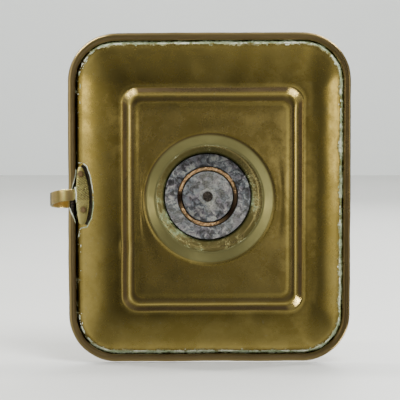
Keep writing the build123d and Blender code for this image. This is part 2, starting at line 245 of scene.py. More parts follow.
# %% The sky, by direction
world = bpy.data.worlds.new("studio")
world.use_nodes = True
sky = world.node_tree
facing = put(sky, "ShaderNodeSeparateXYZ", {0: put(sky, "ShaderNodeTexCoord").outputs["Generated"]}).outputs
across, upright, deep = facing["X"], facing["Y"], facing["Z"]
left = span(sky, across, -0.36, -0.92, 0.0, 0.50)
right = span(sky, across, 0.76, 0.99, 0.0, 0.42)
near_sides = span(sky, calc(sky, "ABSOLUTE", across), 0.04, 0.34, 0.0, 0.07)
glow = times(sky, span(sky, across, 0.0, 0.08), span(sky, across, 0.42, 0.24, 0.0, 0.36))
below = plus(sky, span(sky, upright, 0.03, 0.75, 0.0, 0.22), span(sky, upright, 0.85, 0.99, 0.0, 0.08))
above = plus(sky, span(sky, upright, -0.05, -0.60, 0.0, 0.07), span(sky, upright, -0.88, -0.99, 0.0, 0.13))
behind = span(sky, deep, -0.48, 0.0, 0.066, 0.36)
hollow = times(sky, span(sky, deep, 0.0, 0.10), span(sky, deep, 0.50, 0.30))
around = calc(sky, "MAXIMUM", plus(sky, left, right, near_sides, glow), plus(sky, below, above))
around = times(sky, plus(sky, around, behind), calc(sky, "SUBTRACT", 1.0, times(sky, hollow, 0.75)))
sky.links.new(around, sky.nodes["Background"].inputs["Strength"])
sky.nodes["Background"].inputs["Color"].default_value = (0.90, 0.90, 0.88, 1)
bpy.context.scene.world = world

# %% [markdown]
# ## Round loops and lathe work
# Every piece here is either turned round an axis or follows a rounded rectangle, so two helpers do most
# of the modelling. One turns an outline of radius and height into a ring. The other strings loops of
# points into a skin. A Bezier step at each corner of an outline gives the small radius that a real edge
# has, because a knife-sharp edge catches no light and gives a model away.

# %% Helpers for outlines and skins
def rounded(outline, radii, steps=4):
    """An outline with its corners eased. The radii are given corner by corner, or as one number."""
    points = [np.array(p, float) for p in outline]
    radii = [radii] * len(points) if np.isscalar(radii) else radii
    made = []
    for i, here in enumerate(points):
        before, after = points[i - 1], points[(i + 1) % len(points)]
        to_before, to_after = before - here, after - here
        reach = min(radii[i], 0.45 * np.linalg.norm(to_before), 0.45 * np.linalg.norm(to_after))
        if reach < 1e-4:
            made.append(here)
            continue
        first = here + to_before / np.linalg.norm(to_before) * reach
        last = here + to_after / np.linalg.norm(to_after) * reach
        for k in range(steps + 1):
            t = k / steps
            made.append(first * (1 - t) ** 2 + here * 2 * t * (1 - t) + last * t**2)
    return made


def skin(name, loops, body, material, close_rows=False, close_columns=True, marks=None):
    """A smooth mesh strung over rows of points in millimetres. Marks are masks, one value per point."""
    rows, columns = len(loops), len(loops[0])
    points = np.concatenate([np.asarray(loop, float).reshape(-1, 3) for loop in loops]) * MM
    faces = []
    for i in range(rows if close_rows else rows - 1):
        for j in range(columns if close_columns else columns - 1):
            a, b = i * columns, ((i + 1) % rows) * columns
            k = (j + 1) % columns
            faces.append((a + j, a + k, b + k, b + j))
    mesh = bpy.data.meshes.new(name)
    mesh.from_pydata(points.tolist(), [], faces)
    mesh.polygons.foreach_set("use_smooth", [True] * len(mesh.polygons))
    for label, values in (marks or {}).items():
        layer = mesh.attributes.new(label, "FLOAT", "POINT")
        layer.data.foreach_set("value", np.ascontiguousarray(values, np.float32).ravel())
    return place_piece(name, mesh, body, material)


def place_piece(name, mesh, body, material):
    """Links a finished mesh, turns its faces outward, and hands it to its body and slot."""
    soft = bmesh.new()
    soft.from_mesh(mesh)
    bmesh.ops.remove_doubles(soft, verts=soft.verts, dist=1e-7)
    bmesh.ops.dissolve_degenerate(soft, edges=soft.edges, dist=1e-8)
    bmesh.ops.recalc_face_normals(soft, faces=soft.faces)
    soft.to_mesh(mesh)
    soft.free()
    mesh.materials.append(material)
    piece = bpy.data.objects.new(name, mesh)
    bpy.context.scene.collection.objects.link(piece)
    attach(piece, body)
    return piece


def lathe(name, outline, body, material, slot, columns=144, wobble=0.0, **marks):
    """Turns points of radius and height about the axis. Marks are rules of radius, height and angle."""
    loops = []
    angles = np.linspace(0, 2 * math.pi, columns, endpoint=False)
    for radius, height in outline:
        out = [noise.noise((math.cos(a) * 1.3, math.sin(a) * 1.3, height * 0.05)) for a in angles]
        r = radius * (1 + wobble * np.array(out))
        loops.append(np.column_stack([r * np.cos(angles), r * np.sin(angles), np.full(columns, height)]))
    spread = {mark: np.array([np.broadcast_to(rule(r, z, angles), columns) for r, z in outline])
              for mark, rule in marks.items()}
    return skin(name, loops, body, material, close_rows=True, marks=spread)


def toward(angles, degrees, width):
    """A mask that is 1 in one direction round an axis and falls to 0 at so many degrees to either side."""
    away = np.abs((np.degrees(angles) - degrees + 180) % 360 - 180)
    return np.clip(1 - away / width, 0, 1)


def hump(value, middle, width):
    """A soft rise to 1 at the middle."""
    return np.exp(-((value - middle) / width) ** 2)


def with_more_points(outline, reach=0.7):
    """The same outline, its long straights cut up, so that marks can change along them."""
    made = []
    for here, after in zip(outline, outline[1:] + outline[:1]):
        here, after = np.array(here, float), np.array(after, float)
        count = max(1, round(float(np.linalg.norm(after - here)) / reach))
        made += [here + (after - here) * k / count for k in range(count)]
    return made


# %% [markdown]
# ## Effects that several finishes share
# Old brass is never one colour. Under everything is a cloudy film of tarnish, then fine scratches from
# years of polishing, then green and white verdigris wherever polish or wax stayed wet. Each effect is a
# node group with named sockets, built once, and each finish sets its own values on it. The groups only
# put out colours, masks and heights, and the shader itself stays in each material.

# %% Starting a group
def new_effect(name, inputs, outputs):
    """An empty node group. Inputs have a name, a kind and a first value, outputs a name and a kind."""
    tree = bpy.data.node_groups.new(name, "ShaderNodeTree")
    for label, (kind, value) in inputs.items():
        socket = tree.interface.new_socket(name=label, in_out="INPUT", socket_type=f"NodeSocket{kind}")
        if value is not None:
            socket.default_value = value
    for label, kind in outputs.items():
        tree.interface.new_socket(name=label, in_out="OUTPUT", socket_type=f"NodeSocket{kind}")
    return tree, put(tree, "NodeGroupInput").outputs, put(tree, "NodeGroupOutput")


def hand_out(tree, end, results):
    """Links a group's results to its output sockets."""
    for label, socket in results.items():
        tree.links.new(socket, end.inputs[label])


def with_effect(tree, group, inputs):
    """Places a shared effect in a material and returns its outputs."""
    return put(tree, "ShaderNodeGroup", inputs, node_tree=group).outputs


# %% The film of tarnish
def shifted(tree, place, by):
    """A place moved aside, so that two noises don't repeat each other."""
    return put(tree, "ShaderNodeVectorMath", {0: place, 1: by}, operation="ADD").outputs[0]


def make_tarnish():
    """Cloud: patches. Speckle: dark pinpricks. Dust: pale specks. Height: a faint unevenness."""
    inputs = {"Place": ("Vector", None), "Patch": ("Float", 14.0)}
    outputs = {"Cloud": "Float", "Speckle": "Float", "Dust": "Float", "Height": "Float"}
    tree, given, end = new_effect("tarnish_film", inputs, outputs)
    scale = calc(tree, "DIVIDE", 1.0, given["Patch"])
    broad = cloud(tree, given["Place"], scale, 3.0, 0.5, 0.6)
    middling = cloud(tree, given["Place"], times(tree, scale, 5.0), 5.0, 0.62)
    both = weighted(tree, (broad, 0.62), (middling, 0.38))
    fine = cloud(tree, given["Place"], 1.7, 3.0, 0.7)
    gather = span(tree, middling, 0.42, 0.62)
    pricks = times(tree, span(tree, fine, 0.60, 0.72), gather)
    height = weighted(tree, (middling, 0.6), (fine, 0.4))
    specks = cloud(tree, shifted(tree, given["Place"], (31.0, 7.0, 3.0)), 0.9, 2.0, 0.5)
    dust = times(tree, span(tree, specks, 0.66, 0.74), span(tree, broad, 0.35, 0.6))
    results = {"Cloud": span(tree, both, 0.34, 0.66), "Speckle": pricks, "Dust": dust, "Height": height}
    hand_out(tree, end, results)
    return tree


# %% Polishing scratches
def make_scratches():
    """Hair lines in three directions. Mask: where they are. Height: their depth."""
    inputs = {"Place": ("Vector", None), "Count": ("Float", 1.0)}
    tree, given, end = new_effect("polish_scratches", inputs, {"Mask": "Float", "Height": "Float"})
    total = None
    for i, (angle, length, width) in enumerate(((0.35, 22.0, 0.16), (-0.9, 30.0, 0.13), (1.45, 16.0, 0.2))):
        turned = put(tree, "ShaderNodeVectorRotate", {"Vector": given["Place"], "Angle": angle}).outputs[0]
        squeeze = (1 / length, 1 / width, 0.05)
        squeezed = put(tree, "ShaderNodeVectorMath", {0: turned, 1: squeeze}, operation="MULTIPLY").outputs[0]
        lines = cloud(tree, shifted(tree, squeezed, (i * 7.3, i * 3.1, 0.0)), 1.0, 2.0, 0.6)
        hair = span(tree, lines, 0.64, 0.72)
        total = hair if total is None else calc(tree, "MAXIMUM", total, hair)
    some = times(tree, total, given["Count"], clamp=True)
    hand_out(tree, end, {"Mask": some, "Height": times(tree, some, -1.0)})
    return tree


# %% Verdigris
def make_verdigris():
    """Green and white bloom that grows out of a crevice. Near: how close the crevice is, 0 to 1."""
    inputs = {"Place": ("Vector", None), "Near": ("Float", 0.0), "Pale": ("Float", 0.5)}
    outputs = {"Mask": "Float", "Colour": "Color", "Height": "Float"}
    tree, given, end = new_effect("verdigris", inputs, outputs)
    patches = cloud(tree, given["Place"], 0.16, 4.0, 0.6, 0.4)
    crumbs = cloud(tree, given["Place"], 1.1, 5.0, 0.7)
    grown = plus(tree, given["Near"], times(tree, calc(tree, "SUBTRACT", patches, 0.5), 0.9))
    ragged = plus(tree, grown, times(tree, calc(tree, "SUBTRACT", crumbs, 0.5), 0.8))
    mask = times(tree, span(tree, ragged, 0.42, 0.78), span(tree, given["Near"], 0.02, 0.2))
    green = blend_colour(tree, span(tree, crumbs, 0.35, 0.65), (0.03, 0.06, 0.02), (0.20, 0.27, 0.12))
    pale = blend_colour(tree, span(tree, crumbs, 0.4, 0.6), (0.42, 0.50, 0.30), (0.72, 0.75, 0.58))
    share = times(tree, span(tree, patches, 0.35, 0.65), given["Pale"], clamp=True)
    colour = blend_colour(tree, share, green, pale)
    hand_out(tree, end, {"Mask": mask, "Colour": colour, "Height": times(tree, mask, crumbs)})
    return tree


tarnish_film = make_tarnish()
polish_scratches = make_scratches()
verdigris_bloom = make_verdigris()
print("effects", [g.name for g in bpy.data.node_groups])

# %% [markdown]
# ## Brass
# All the brass is one recipe with different values. The bright colour shows where hands and cloths rub,
# and a still brighter one is laid on as painted highlights; the olive one shows where the film lies thick,
# and the crevice mask that each mesh carries says where verdigris may grow. The shade and brown colours are
# also laid on as painted shade. Verdigris is a mineral, so it also turns the metal off and the roughness up.

# %% The brass recipe
# BROWN is the roll's bronze tone, and is also laid on the step's wall, the boss's upper edge and the strap as
# painted shade.
DUST, BROWN, GREEN_GOLD = (0.62, 0.60, 0.42), (0.35, 0.25, 0.15), (0.60, 0.57, 0.24)


def make_finish(name, recipe, *values, **options):
    """A material whose shader inputs come from a recipe, given the tree and the place on the stick."""
    material = bpy.data.materials.new(name)
    material.use_nodes = True
    tree = material.node_tree
    tree.nodes.clear()
    shader = put(tree, "ShaderNodeBsdfPrincipled", recipe(tree, place_in_mm(tree), *values, **options))
    put(tree, "ShaderNodeOutputMaterial", {"Surface": shader.outputs[0]})
    return material


def relief(tree, height, depth=1.0):
    """A normal from a height, with its depth in millimetres."""
    lift = times(tree, height, depth)
    return put(tree, "ShaderNodeBump", {"Strength": 1.0, "Distance": MM, "Height": lift}).outputs[0]


def file_furrows(tree, place, strength):
    """Crossed furrows of a coarse file, where the mesh carries the mask for them."""
    total = None
    for angle in (0.95, -0.75):
        turned = put(tree, "ShaderNodeVectorRotate", {"Vector": place, "Angle": angle}).outputs[0]
        lines = {"Vector": turned, "Scale": 0.36, "Distortion": 2.2, "Detail": 2.0, "Detail Scale": 1.4}
        wave = put(tree, "ShaderNodeTexWave", lines).outputs["Fac"]
        cut = span(tree, wave, 0.55, 0.85)
        total = cut if total is None else calc(tree, "MAXIMUM", total, times(tree, cut, 0.6))
    return times(tree, total, times(tree, painted(tree, "filed"), strength))


def brass(tree, place, bright, olive, shade, patch=14.0, rough=(0.24, 0.46), scratch=0.5, pale=0.5,
          dents=0.02, filed=0.0):
    """A brass finish from its bright (rub, painted highlight), tarnished and shade (specks, painted shade)
    colours.
    """
    film = with_effect(tree, tarnish_film, {"Place": place, "Patch": patch})
    hair = with_effect(tree, polish_scratches, {"Place": place, "Count": scratch})
    crevice = painted(tree, "crevice")
    bloom = with_effect(tree, verdigris_bloom, {"Place": place, "Near": crevice, "Pale": pale})
    browned, greened = painted(tree, "browned"), painted(tree, "greened")
    rubbed = times(tree, painted(tree, "rubbed"), 0.75, clamp=True)
    furrows = file_furrows(tree, place, filed)
    colour = blend_colour(tree, film["Cloud"], olive, bright)
    # Painted light is laid in these layers too: the shaded mask is painted shade, the brown one tone and
    # painted shade, the rub one wear and painted highlight.
    for mask, share, tint in (
        (film["Speckle"], 0.55, shade), (film["Dust"], 0.45, DUST), (painted(tree, "shaded"), 1.0, shade),
        (browned, 0.75, BROWN), (greened, 0.8, GREEN_GOLD),
        (rubbed, 1.0, [min(1.0, c * 1.35) for c in bright]), (hair["Mask"], 0.25, bright),
        (furrows, 0.45, shade), (bloom["Mask"], 1.0, bloom["Colour"]),
    ):
        colour = blend_colour(tree, times(tree, mask, share), colour, tint)
    dull = plus(tree, span(tree, film["Cloud"], 0.0, 1.0, rough[1], rough[0]),
                weighted(tree, (film["Speckle"], 0.15), (browned, 0.12), (greened, 0.16), (rubbed, -0.10)))
    dull = calc(tree, "MAXIMUM", dull, times(tree, bloom["Mask"], 0.85), clamp=True)
    metal = calc(tree, "SUBTRACT", 1.0, bloom["Mask"], clamp=True)
    lumps = weighted(tree, (film["Height"], dents), (bloom["Height"], 0.25), (hair["Height"], 0.004),
                     (furrows, -0.10))
    inputs = {"Base Color": colour, "Roughness": dull, "Metallic": metal, "Normal": relief(tree, lumps)}
    return inputs


tray_brass = make_finish("tray_brass", brass, (0.57, 0.44, 0.125), (0.41, 0.305, 0.07), (0.11, 0.075, 0.015),
                         rough=(0.19, 0.30))
stem_brass = make_finish("stem_brass", brass, (0.58, 0.47, 0.18), (0.42, 0.35, 0.12), (0.06, 0.07, 0.02),
                         patch=7.0, pale=0.15)
tube_brass = make_finish("tube_brass", brass, (0.66, 0.45, 0.24), (0.42, 0.27, 0.12), (0.05, 0.03, 0.02),
                         patch=5.0, scratch=0.8, dents=0.05)
handle_brass = make_finish("handle_brass", brass, (0.92, 0.66, 0.23), (0.60, 0.41, 0.14), (0.12, 0.08, 0.03),
                           patch=6.0, dents=0.03, filed=2.0)
rivet_brass = make_finish("rivet_brass", brass, (0.62, 0.42, 0.20), (0.34, 0.20, 0.10), (0.08, 0.05, 0.03),
                          patch=3.0)
print("brasses", [m.name for m in bpy.data.materials if "brass" in m.name])

# %% [markdown]
# ## Grey metals, leather, crust and a painted shadow
# The base plate and the button are iron that was once tinned. The tin has worn to pale islands in a
# mottled, bluish grey. The rim's wire, the rod and its burrs are plain dark iron, and a leather washer
# sits under the candle's platform. The crust is the thick verdigris that stands up from the metal. A
# near-black strip beside the saddle plate is painted shadow of the gap under it, and the end of the tube
# has the remains of a coppery lacquer.

# %% Grey metals, leather and crust
def worn_tin(tree, place):
    """Mottled grey: dark iron, bluish and violet grey, pale islands of scratched tin, a little rust, painted
    shade.
    """
    broad = cloud(tree, place, 0.10, 3.0, 0.6, 0.8)
    mottle = cloud(tree, place, 0.42, 7.0, 0.66, 0.6)
    crumbs = cloud(tree, shifted(tree, place, (9.0, 4.0, 0.0)), 1.9, 5.0, 0.7)
    tint = cloud(tree, shifted(tree, place, (2.0, 17.0, 0.0)), 0.3, 2.0, 0.5)
    hair = with_effect(tree, polish_scratches, {"Place": place, "Count": 0.9})
    grey = blend_colour(tree, span(tree, tint, 0.4, 0.6), (0.115, 0.13, 0.15), (0.15, 0.13, 0.155))
    colour = blend_colour(tree, span(tree, mottle, 0.40, 0.56), (0.022, 0.021, 0.022), grey)
    pale = times(tree, span(tree, mottle, 0.50, 0.62), span(tree, broad, 0.34, 0.56))
    pale = times(tree, pale, span(tree, crumbs, 0.34, 0.52))
    # Where the mesh is marked, pale tin is laid as worn smears and as painted highlight.
    smear_and_highlight = times(tree, painted(tree, "rubbed"), span(tree, crumbs, 0.34, 0.58))
    pale = calc(tree, "MAXIMUM", pale, smear_and_highlight)
    rust = times(tree, span(tree, crumbs, 0.58, 0.68), span(tree, broad, 0.60, 0.42))
    for mask, share, tint in (
        (pale, 0.85, (0.46, 0.46, 0.39)), (rust, 0.6, (0.13, 0.07, 0.04)),
        (hair["Mask"], 0.55, (0.50, 0.50, 0.46)), (painted(tree, "shaded"), 0.9, (0.01, 0.01, 0.01)),
    ):
        colour = blend_colour(tree, times(tree, mask, share), colour, tint)
    rough = span(tree, mottle, 0.35, 0.65, 0.60, 0.38)
    metal = span(tree, pale, 0.0, 1.0, 0.25, 0.45)
    lumps = weighted(tree, (mottle, 1.0), (crumbs, 0.6))
    return {"Base Color": colour, "Roughness": rough, "Metallic": metal, "Normal": relief(tree, lumps, 0.16)}


def dark_iron(tree, place):
    """Black-brown iron with a drawn grain and traces of rust."""
    mottle = cloud(tree, place, 1.4, 5.0, 0.65)
    colour = blend_colour(tree, span(tree, mottle, 0.4, 0.62), (0.05, 0.045, 0.04), (0.16, 0.13, 0.10))
    rough = span(tree, mottle, 0.35, 0.65, 0.6, 0.38)
    return {"Base Color": colour, "Roughness": rough, "Metallic": 0.85, "Normal": relief(tree, mottle, 0.05)}


def old_leather(tree, place):
    """Hard brown leather with a pebbled grain."""
    pebbles = put(tree, "ShaderNodeTexVoronoi", {"Vector": place, "Scale": 2.2}, feature="SMOOTH_F1")
    grain = pebbles.outputs["Distance"]
    patch = cloud(tree, place, 0.4, 4.0, 0.6)
    colour = blend_colour(tree, span(tree, patch, 0.35, 0.65), (0.06, 0.03, 0.015), (0.17, 0.09, 0.045))
    rough = span(tree, grain, 0.1, 0.6, 0.75, 0.5)
    return {"Base Color": colour, "Roughness": rough, "Normal": relief(tree, grain, 0.12)}


def crust_mineral(tree, place):
    """Chalky green and white."""
    patches = cloud(tree, place, 0.12, 3.0, 0.6)
    crumbs = cloud(tree, place, 1.6, 5.0, 0.7)
    green = blend_colour(tree, span(tree, crumbs, 0.35, 0.65), (0.17, 0.23, 0.11), (0.40, 0.46, 0.28))
    white = blend_colour(tree, span(tree, crumbs, 0.35, 0.6), (0.45, 0.50, 0.34), (0.74, 0.75, 0.62))
    colour = blend_colour(tree, span(tree, patches, 0.38, 0.62), green, white)
    rough = span(tree, crumbs, 0.3, 0.7, 0.7, 0.95)
    return {"Base Color": colour, "Roughness": rough, "Normal": relief(tree, crumbs, 0.2)}


def painted_gap_shadow(tree, place):
    """Black-brown paint: painted shadow in the gap beside the saddle plate."""
    crumbs = cloud(tree, place, 1.3, 5.0, 0.7)
    colour = blend_colour(tree, span(tree, crumbs, 0.4, 0.65), (0.010, 0.008, 0.004), (0.045, 0.035, 0.015))
    rough = span(tree, crumbs, 0.3, 0.7, 0.6, 0.9)
    return {"Base Color": colour, "Roughness": rough, "Normal": relief(tree, crumbs, 0.1)}


def old_lacquer(tree, place):
    """Cracked, coppery lacquer that has gone chalky."""
    crumbs = cloud(tree, place, 1.1, 6.0, 0.75)
    colour = blend_colour(tree, span(tree, crumbs, 0.40, 0.60), (0.16, 0.075, 0.03), (0.56, 0.36, 0.17))
    rough = span(tree, crumbs, 0.3, 0.7, 0.8, 0.45)
    return {"Base Color": colour, "Roughness": rough, "Metallic": 0.25, "Normal": relief(tree, crumbs, 0.25)}


tinned_iron = make_finish("tinned_iron", worn_tin)
gap_shadow_paint = make_finish("painted_gap_shadow", painted_gap_shadow)
lacquer = make_finish("old_lacquer", old_lacquer)
iron_wire = make_finish("iron_wire", dark_iron)
leather = make_finish("leather", old_leather)
crust = make_finish("verdigris_crust", crust_mineral)
print("others", [m.name for m in (tinned_iron, gap_shadow_paint, lacquer, iron_wire, leather, crust)])

# %% [markdown]
# ## The tray
# The tray is one sheet: a flat base with a round boss, a step up to a shelf, a dished flange, and an edge
# rolled round a wire. It could be a subdivision cage, but a cage smears the crisp creases of sheet work.
# Here it is a stack of loops instead. Each loop runs round the tray with the same number of points, so
# that loops can be mixed by simple sums, and the stack follows the sheet's section: out along the
# underside, round the wire, and back along the top.

# %% Loops round the tray
CORNER_POINTS = 20
SIDE_POINTS = 56
STEP_CENTRE = np.array([2.1, 1.25])
BOSS_CENTRE = np.array([0.8, 0.8])
SPARE = np.array([0.3, 0.5])        # room inside the frame's box for what handwork moves
RIM_CORNER = 22.0
SHEET = 0.9


def corner_sign(quarter):
    """Which way a corner lies from the centre, counted anticlockwise from +X +Y."""
    return np.array([1 if quarter % 4 in (0, 3) else -1, 1 if quarter % 4 in (0, 1) else -1])


def rounded_loop(half, corner, centre):
    """Points and outward directions round a rounded rectangle, starting at the end of its +X side."""
    points, outward = [], []
    half = np.asarray(half, float)
    for quarter in range(4):
        for k in range(CORNER_POINTS + 1):
            angle = math.pi / 2 * (quarter + k / CORNER_POINTS)
            way = np.array([math.cos(angle), math.sin(angle)])
            points.append(corner_sign(quarter) * (half - corner) + corner * way)
            outward.append(way)
        following = corner_sign(quarter + 1) * (half - corner) + corner * way
        last = points[-1]
        for k in range(1, SIDE_POINTS):
            points.append(last + (following - last) * k / SIDE_POINTS)
            outward.append(way)
    return np.array(points) + centre, np.array(outward)


wire_line, wire_out = rounded_loop(RIM_HALF - SPARE - ROLL_RADIUS, RIM_CORNER - ROLL_RADIUS, RIM_CENTRE)
BASE_HALF, BASE_INSET = np.array([34.6, 43.8]), 1.8
base_line, _ = rounded_loop(BASE_HALF, 3.6, STEP_CENTRE)
base_inset, _ = rounded_loop(BASE_HALF - BASE_INSET, 2.2, STEP_CENTRE)
shelf_line, shelf_out = rounded_loop((41.6, 51.7), 7.4, STEP_CENTRE)
base_turn = np.arctan2(base_line[:, 1] - BOSS_CENTRE[1], base_line[:, 0] - BOSS_CENTRE[0])
COLUMNS = len(wire_line)
print("points round the tray", COLUMNS)

# %% Handwork
SKEW = math.tan(math.radians(0.28))
TRUE_TO, FREE_AFTER = 33.0, 25.0    # the middle is true, and the hammer's waves have grown in full so far on


def handworked(loop):
    """Puts a loop a little out of square and flat, as hammered sheet is, but leaves the middle true."""
    made = np.array(loop, float)
    away = np.clip((np.hypot(made[:, 0], made[:, 1]) - TRUE_TO) / FREE_AFTER, 0, 1)
    made[:, 1] -= SKEW * made[:, 0] * away
    for point, share in zip(made, away):
        wave = noise.noise_vector(Vector((point[0], point[1], 0)) * 0.035) * 0.20 * share
        ripple = noise.noise_vector(Vector((point[0], point[1], 9)) * 0.13) * 0.10 * share
        point[0] += wave.x + ripple.x
        point[1] += wave.y + ripple.y
        point[2] += (wave.z + ripple.z) * min(1.0, point[2] / 4)
    return made


def at_height(line, height):
    """A line in plan, put at one height or at a height for each point."""
    return np.column_stack([line, np.broadcast_to(height, len(line))])


def from_wire(out, height):
    """A loop beside the rim's wire: so far outward of its axis, and so far up."""
    return at_height(wire_line + wire_out * np.reshape(out, (-1, 1)), height)


# %% Sections of the tray
STEP_TURN = math.radians(50)        # the slope of the step's wall
FILLET, COVE = 4.6, 1.1             # radii at its foot and at its top
FLANGE_REACH, FLANGE_HEIGHT = 5.15, 10.65
SHELF_HEIGHT = 5.2
ROLL_BORE = 1.15
TOUCH = math.radians(127.4)         # where the flange meets the wire
BEND = (-2.55, 12.5)                # where it turns up to the wire: outward of the wire's axis, and height


def step_section():
    """Share of the way out and height, from the base's edge over the fillet and the wall to the shelf."""
    wide = FILLET * math.sin(STEP_TURN), COVE * math.sin(STEP_TURN)
    tall = FILLET * (1 - math.cos(STEP_TURN)), COVE * (1 - math.cos(STEP_TURN))
    rise = SHELF_HEIGHT - sum(tall)
    run = rise / math.tan(STEP_TURN)
    whole = sum(wide) + run
    section = []
    for k in range(11):
        a = STEP_TURN * k / 10
        section.append((FILLET * math.sin(a), FILLET * (1 - math.cos(a))))
    for k in range(1, 5):
        section.append((wide[0] + run * k / 5, tall[0] + rise * k / 5))
    for k in range(7):
        a = STEP_TURN * (1 - k / 6)
        section.append((whole - COVE * math.sin(a), SHELF_HEIGHT - COVE * (1 - math.cos(a))))
    return [(x / whole, z) for x, z in section]


def boss_loop(radius, height):
    """A circle about the boss's centre, with its points in line with the base's."""
    circle = BOSS_CENTRE + radius * np.column_stack([np.cos(base_turn), np.sin(base_turn)])
    return at_height(circle, height)


def tail_angles():
    """Where the roll's cut edge ends at each column: tucked under, but trimmed back where the ring passes."""
    by_handle = (-14.0, -10.5, -3.3, 3.8, 12.0, 15.0)
    trimmed = (-157.0, -150.0, -75.0, -25.0, -148.0, -157.0)
    angles = np.full(COLUMNS, -157.0)
    left = wire_out[:, 0] < -0.99
    angles[left] = np.interp(wire_line[left, 1], by_handle, trimmed)
    wander = [noise.noise(Vector((x, y, 3)) * 0.3) * 5 for x, y in wire_line]
    return np.radians(angles + np.array(wander))


# The masks: verdigris, wear and painted highlight, painted shade, brown tone and painted shade, green-gold
# tone.
MARKS = ("crevice", "rubbed", "shaded", "browned", "greened")
tray_stack = []


def add(loop, **masks):
    """Puts the next loop on the tray's stack, with its masks."""
    tray_stack.append((handworked(loop), [np.broadcast_to(masks.get(mark, 0.0), COLUMNS) for mark in MARKS]))


def between(first, last, share):
    """A line part of the way from one line to another."""
    return first * (1 - share) + last * share


# %% Underside: the boss and the base
boss = rounded([(24.0, 4.1), (24.0, 3.2), (24.9, 3.2), (28.4, 0.35), (29.7, 0.0), (31.0, 0.0)],
               (0.0, 0.25, 0.8, 1.6, 0.9, 0.0), 5)
# Round the boss, the ring beside the hole is painted dark as painted shade, and the edge at radius 29.2 is
# painted light on its half towards +Y, lower in the picture, and dark on its other half: painted highlight
# and painted shade for light from above.
lower = np.clip(2.5 * np.sin(base_turn) + 0.3, 0, 1)
for radius, height in boss[:-1]:
    near = max(0.0, 1 - (radius - 24.0) / 1.2)
    edge = max(0.0, 1 - abs(radius - 29.2) / 0.6)
    add(boss_loop(radius, height), crevice=0.5 * near, rubbed=edge * lower,
        shaded=np.maximum(0.85 * near, 0.8 * edge * (1 - lower)), browned=0.6 * edge * (1 - lower),
        greened=min(1.0, max(0.0, (29.2 - radius) / 0.8)))
LIFT, LIFT_REACH = 0.32, 3.2        # the base bows up into the sheet towards its edge
foot = boss_loop(30.6, 0.0)
for k in range(13):
    share = k / 12
    loop = between(foot, at_height(base_inset, 0), share)
    inside = np.linalg.norm(loop[:, :2] - base_line, axis=1)
    waves = np.array([0.12 + 0.13 * noise.noise(Vector((x, y, 1)) * 0.08) for x, y, _ in loop])
    loop[:, 2] = math.sin(math.pi * share) ** 2 * waves
    loop[:, 2] += LIFT * np.exp(-inside / LIFT_REACH) * min(1, 4 * share)
    add(loop, crevice=0.28 * (1 - share) ** 6, browned=0.15, shaded=0.12)
# Three loops at the base's edge carry painted highlight lines along the fillet's foot.
for inset, painted_highlight in ((1.2, 0.5), (0.6, 0.7), (0.0, 0.15)):
    line = between(base_line, base_inset, inset / BASE_INSET)
    add(at_height(line, LIFT * math.exp(-inset / LIFT_REACH)), rubbed=painted_highlight)
print("loops up to the base's edge", len(tray_stack))

# %% Underside: the step and the flange
# On the step, painted light: glints on three corners (weak at -X, +Y), thin painted highlight lines along the
# fillet and the cove, and the wall and fillet painted dark brown as painted shade.
corner = np.clip(2.8 * np.abs(shelf_out[:, 0] * shelf_out[:, 1]), 0, 1)
corner *= np.where((shelf_out[:, 0] < 0) & (shelf_out[:, 1] > 0), 0.15, 1.0)
wear_and_painted_light = np.array([0.75 + 0.9 * noise.noise(Vector((x, y, 4)) * 0.9) for x, y in shelf_line])
for share, height in step_section()[1:]:
    wall = min(1.0, max(0.0, 1.5 - abs(share - 0.73) / 0.13))
    fillet = min(1.0, max(0.0, 1.4 - abs(share - 0.20) / 0.13))
    painted_highlight = max(0.0, 1 - abs(share - 0.43) / 0.09) + max(0.0, 1 - abs(share - 0.97) / 0.05)
    add(at_height(between(base_line, shelf_line, share), height + LIFT * (1 - share) ** 3),
        rubbed=np.clip(np.maximum(painted_highlight, 1.3 * wall * corner * wear_and_painted_light), 0, 1.2),
        shaded=max(wall, 0.6 * fillet), browned=max(0.6 * wall, 0.4 * fillet))
edge_line = wire_line - wire_out * FLANGE_REACH
FLANGE_RISE = FLANGE_HEIGHT - SHELF_HEIGHT
# The flange is painted dark next to the step, more on the right, as painted shade, and lighter towards the
# rim, as rub and painted highlight.
for k in range(1, 15):
    share = k / 14
    add(at_height(between(shelf_line, edge_line, share), SHELF_HEIGHT + FLANGE_RISE * share**2),
        shaded=(0.45 + 0.35 * np.clip(shelf_out[:, 0], 0, 1)) * (1 - share) ** 3, rubbed=0.25 * share**2)
# The bend grows less verdigris on the left, and is painted dark all round, darkest on the left, as painted
# shade in the crevice.
cleaned_and_shaded_left = np.clip(-wire_out[:, 0] * 1.6 - 0.6, 0, 1)
for k in range(1, 7):
    share = k / 6
    add(from_wire(between(-FLANGE_REACH, BEND[0], share), between(FLANGE_HEIGHT, BEND[1], share)),
        crevice=(0.25 + 0.6 * share**1.5) * (1 - 0.55 * cleaned_and_shaded_left),
        shaded=np.maximum(0.3, 0.85 * cleaned_and_shaded_left) * share)
print("loops up to the flange's bend", len(tray_stack))

# %% Round the wire
# The crevice between flange and roll, and the roll's inside, are painted dark as painted shade.
touch = ROLL_BORE * math.cos(TOUCH), ROLL_HEIGHT + ROLL_BORE * math.sin(TOUCH)
add(from_wire((BEND[0] + touch[0]) / 2, (BEND[1] + touch[1]) / 2), crevice=0.4, shaded=1.0)
tails = tail_angles()
for k in range(13):
    turn = between(TOUCH, tails, k / 12)
    add(from_wire(ROLL_BORE * np.cos(turn), ROLL_HEIGHT + ROLL_BORE * np.sin(turn)), shaded=1.0)
middle = (ROLL_BORE + ROLL_RADIUS) / 2
cut = tails - 0.12
add(from_wire(middle * np.cos(cut), ROLL_HEIGHT + middle * np.sin(cut)), crevice=0.7, rubbed=0.4)
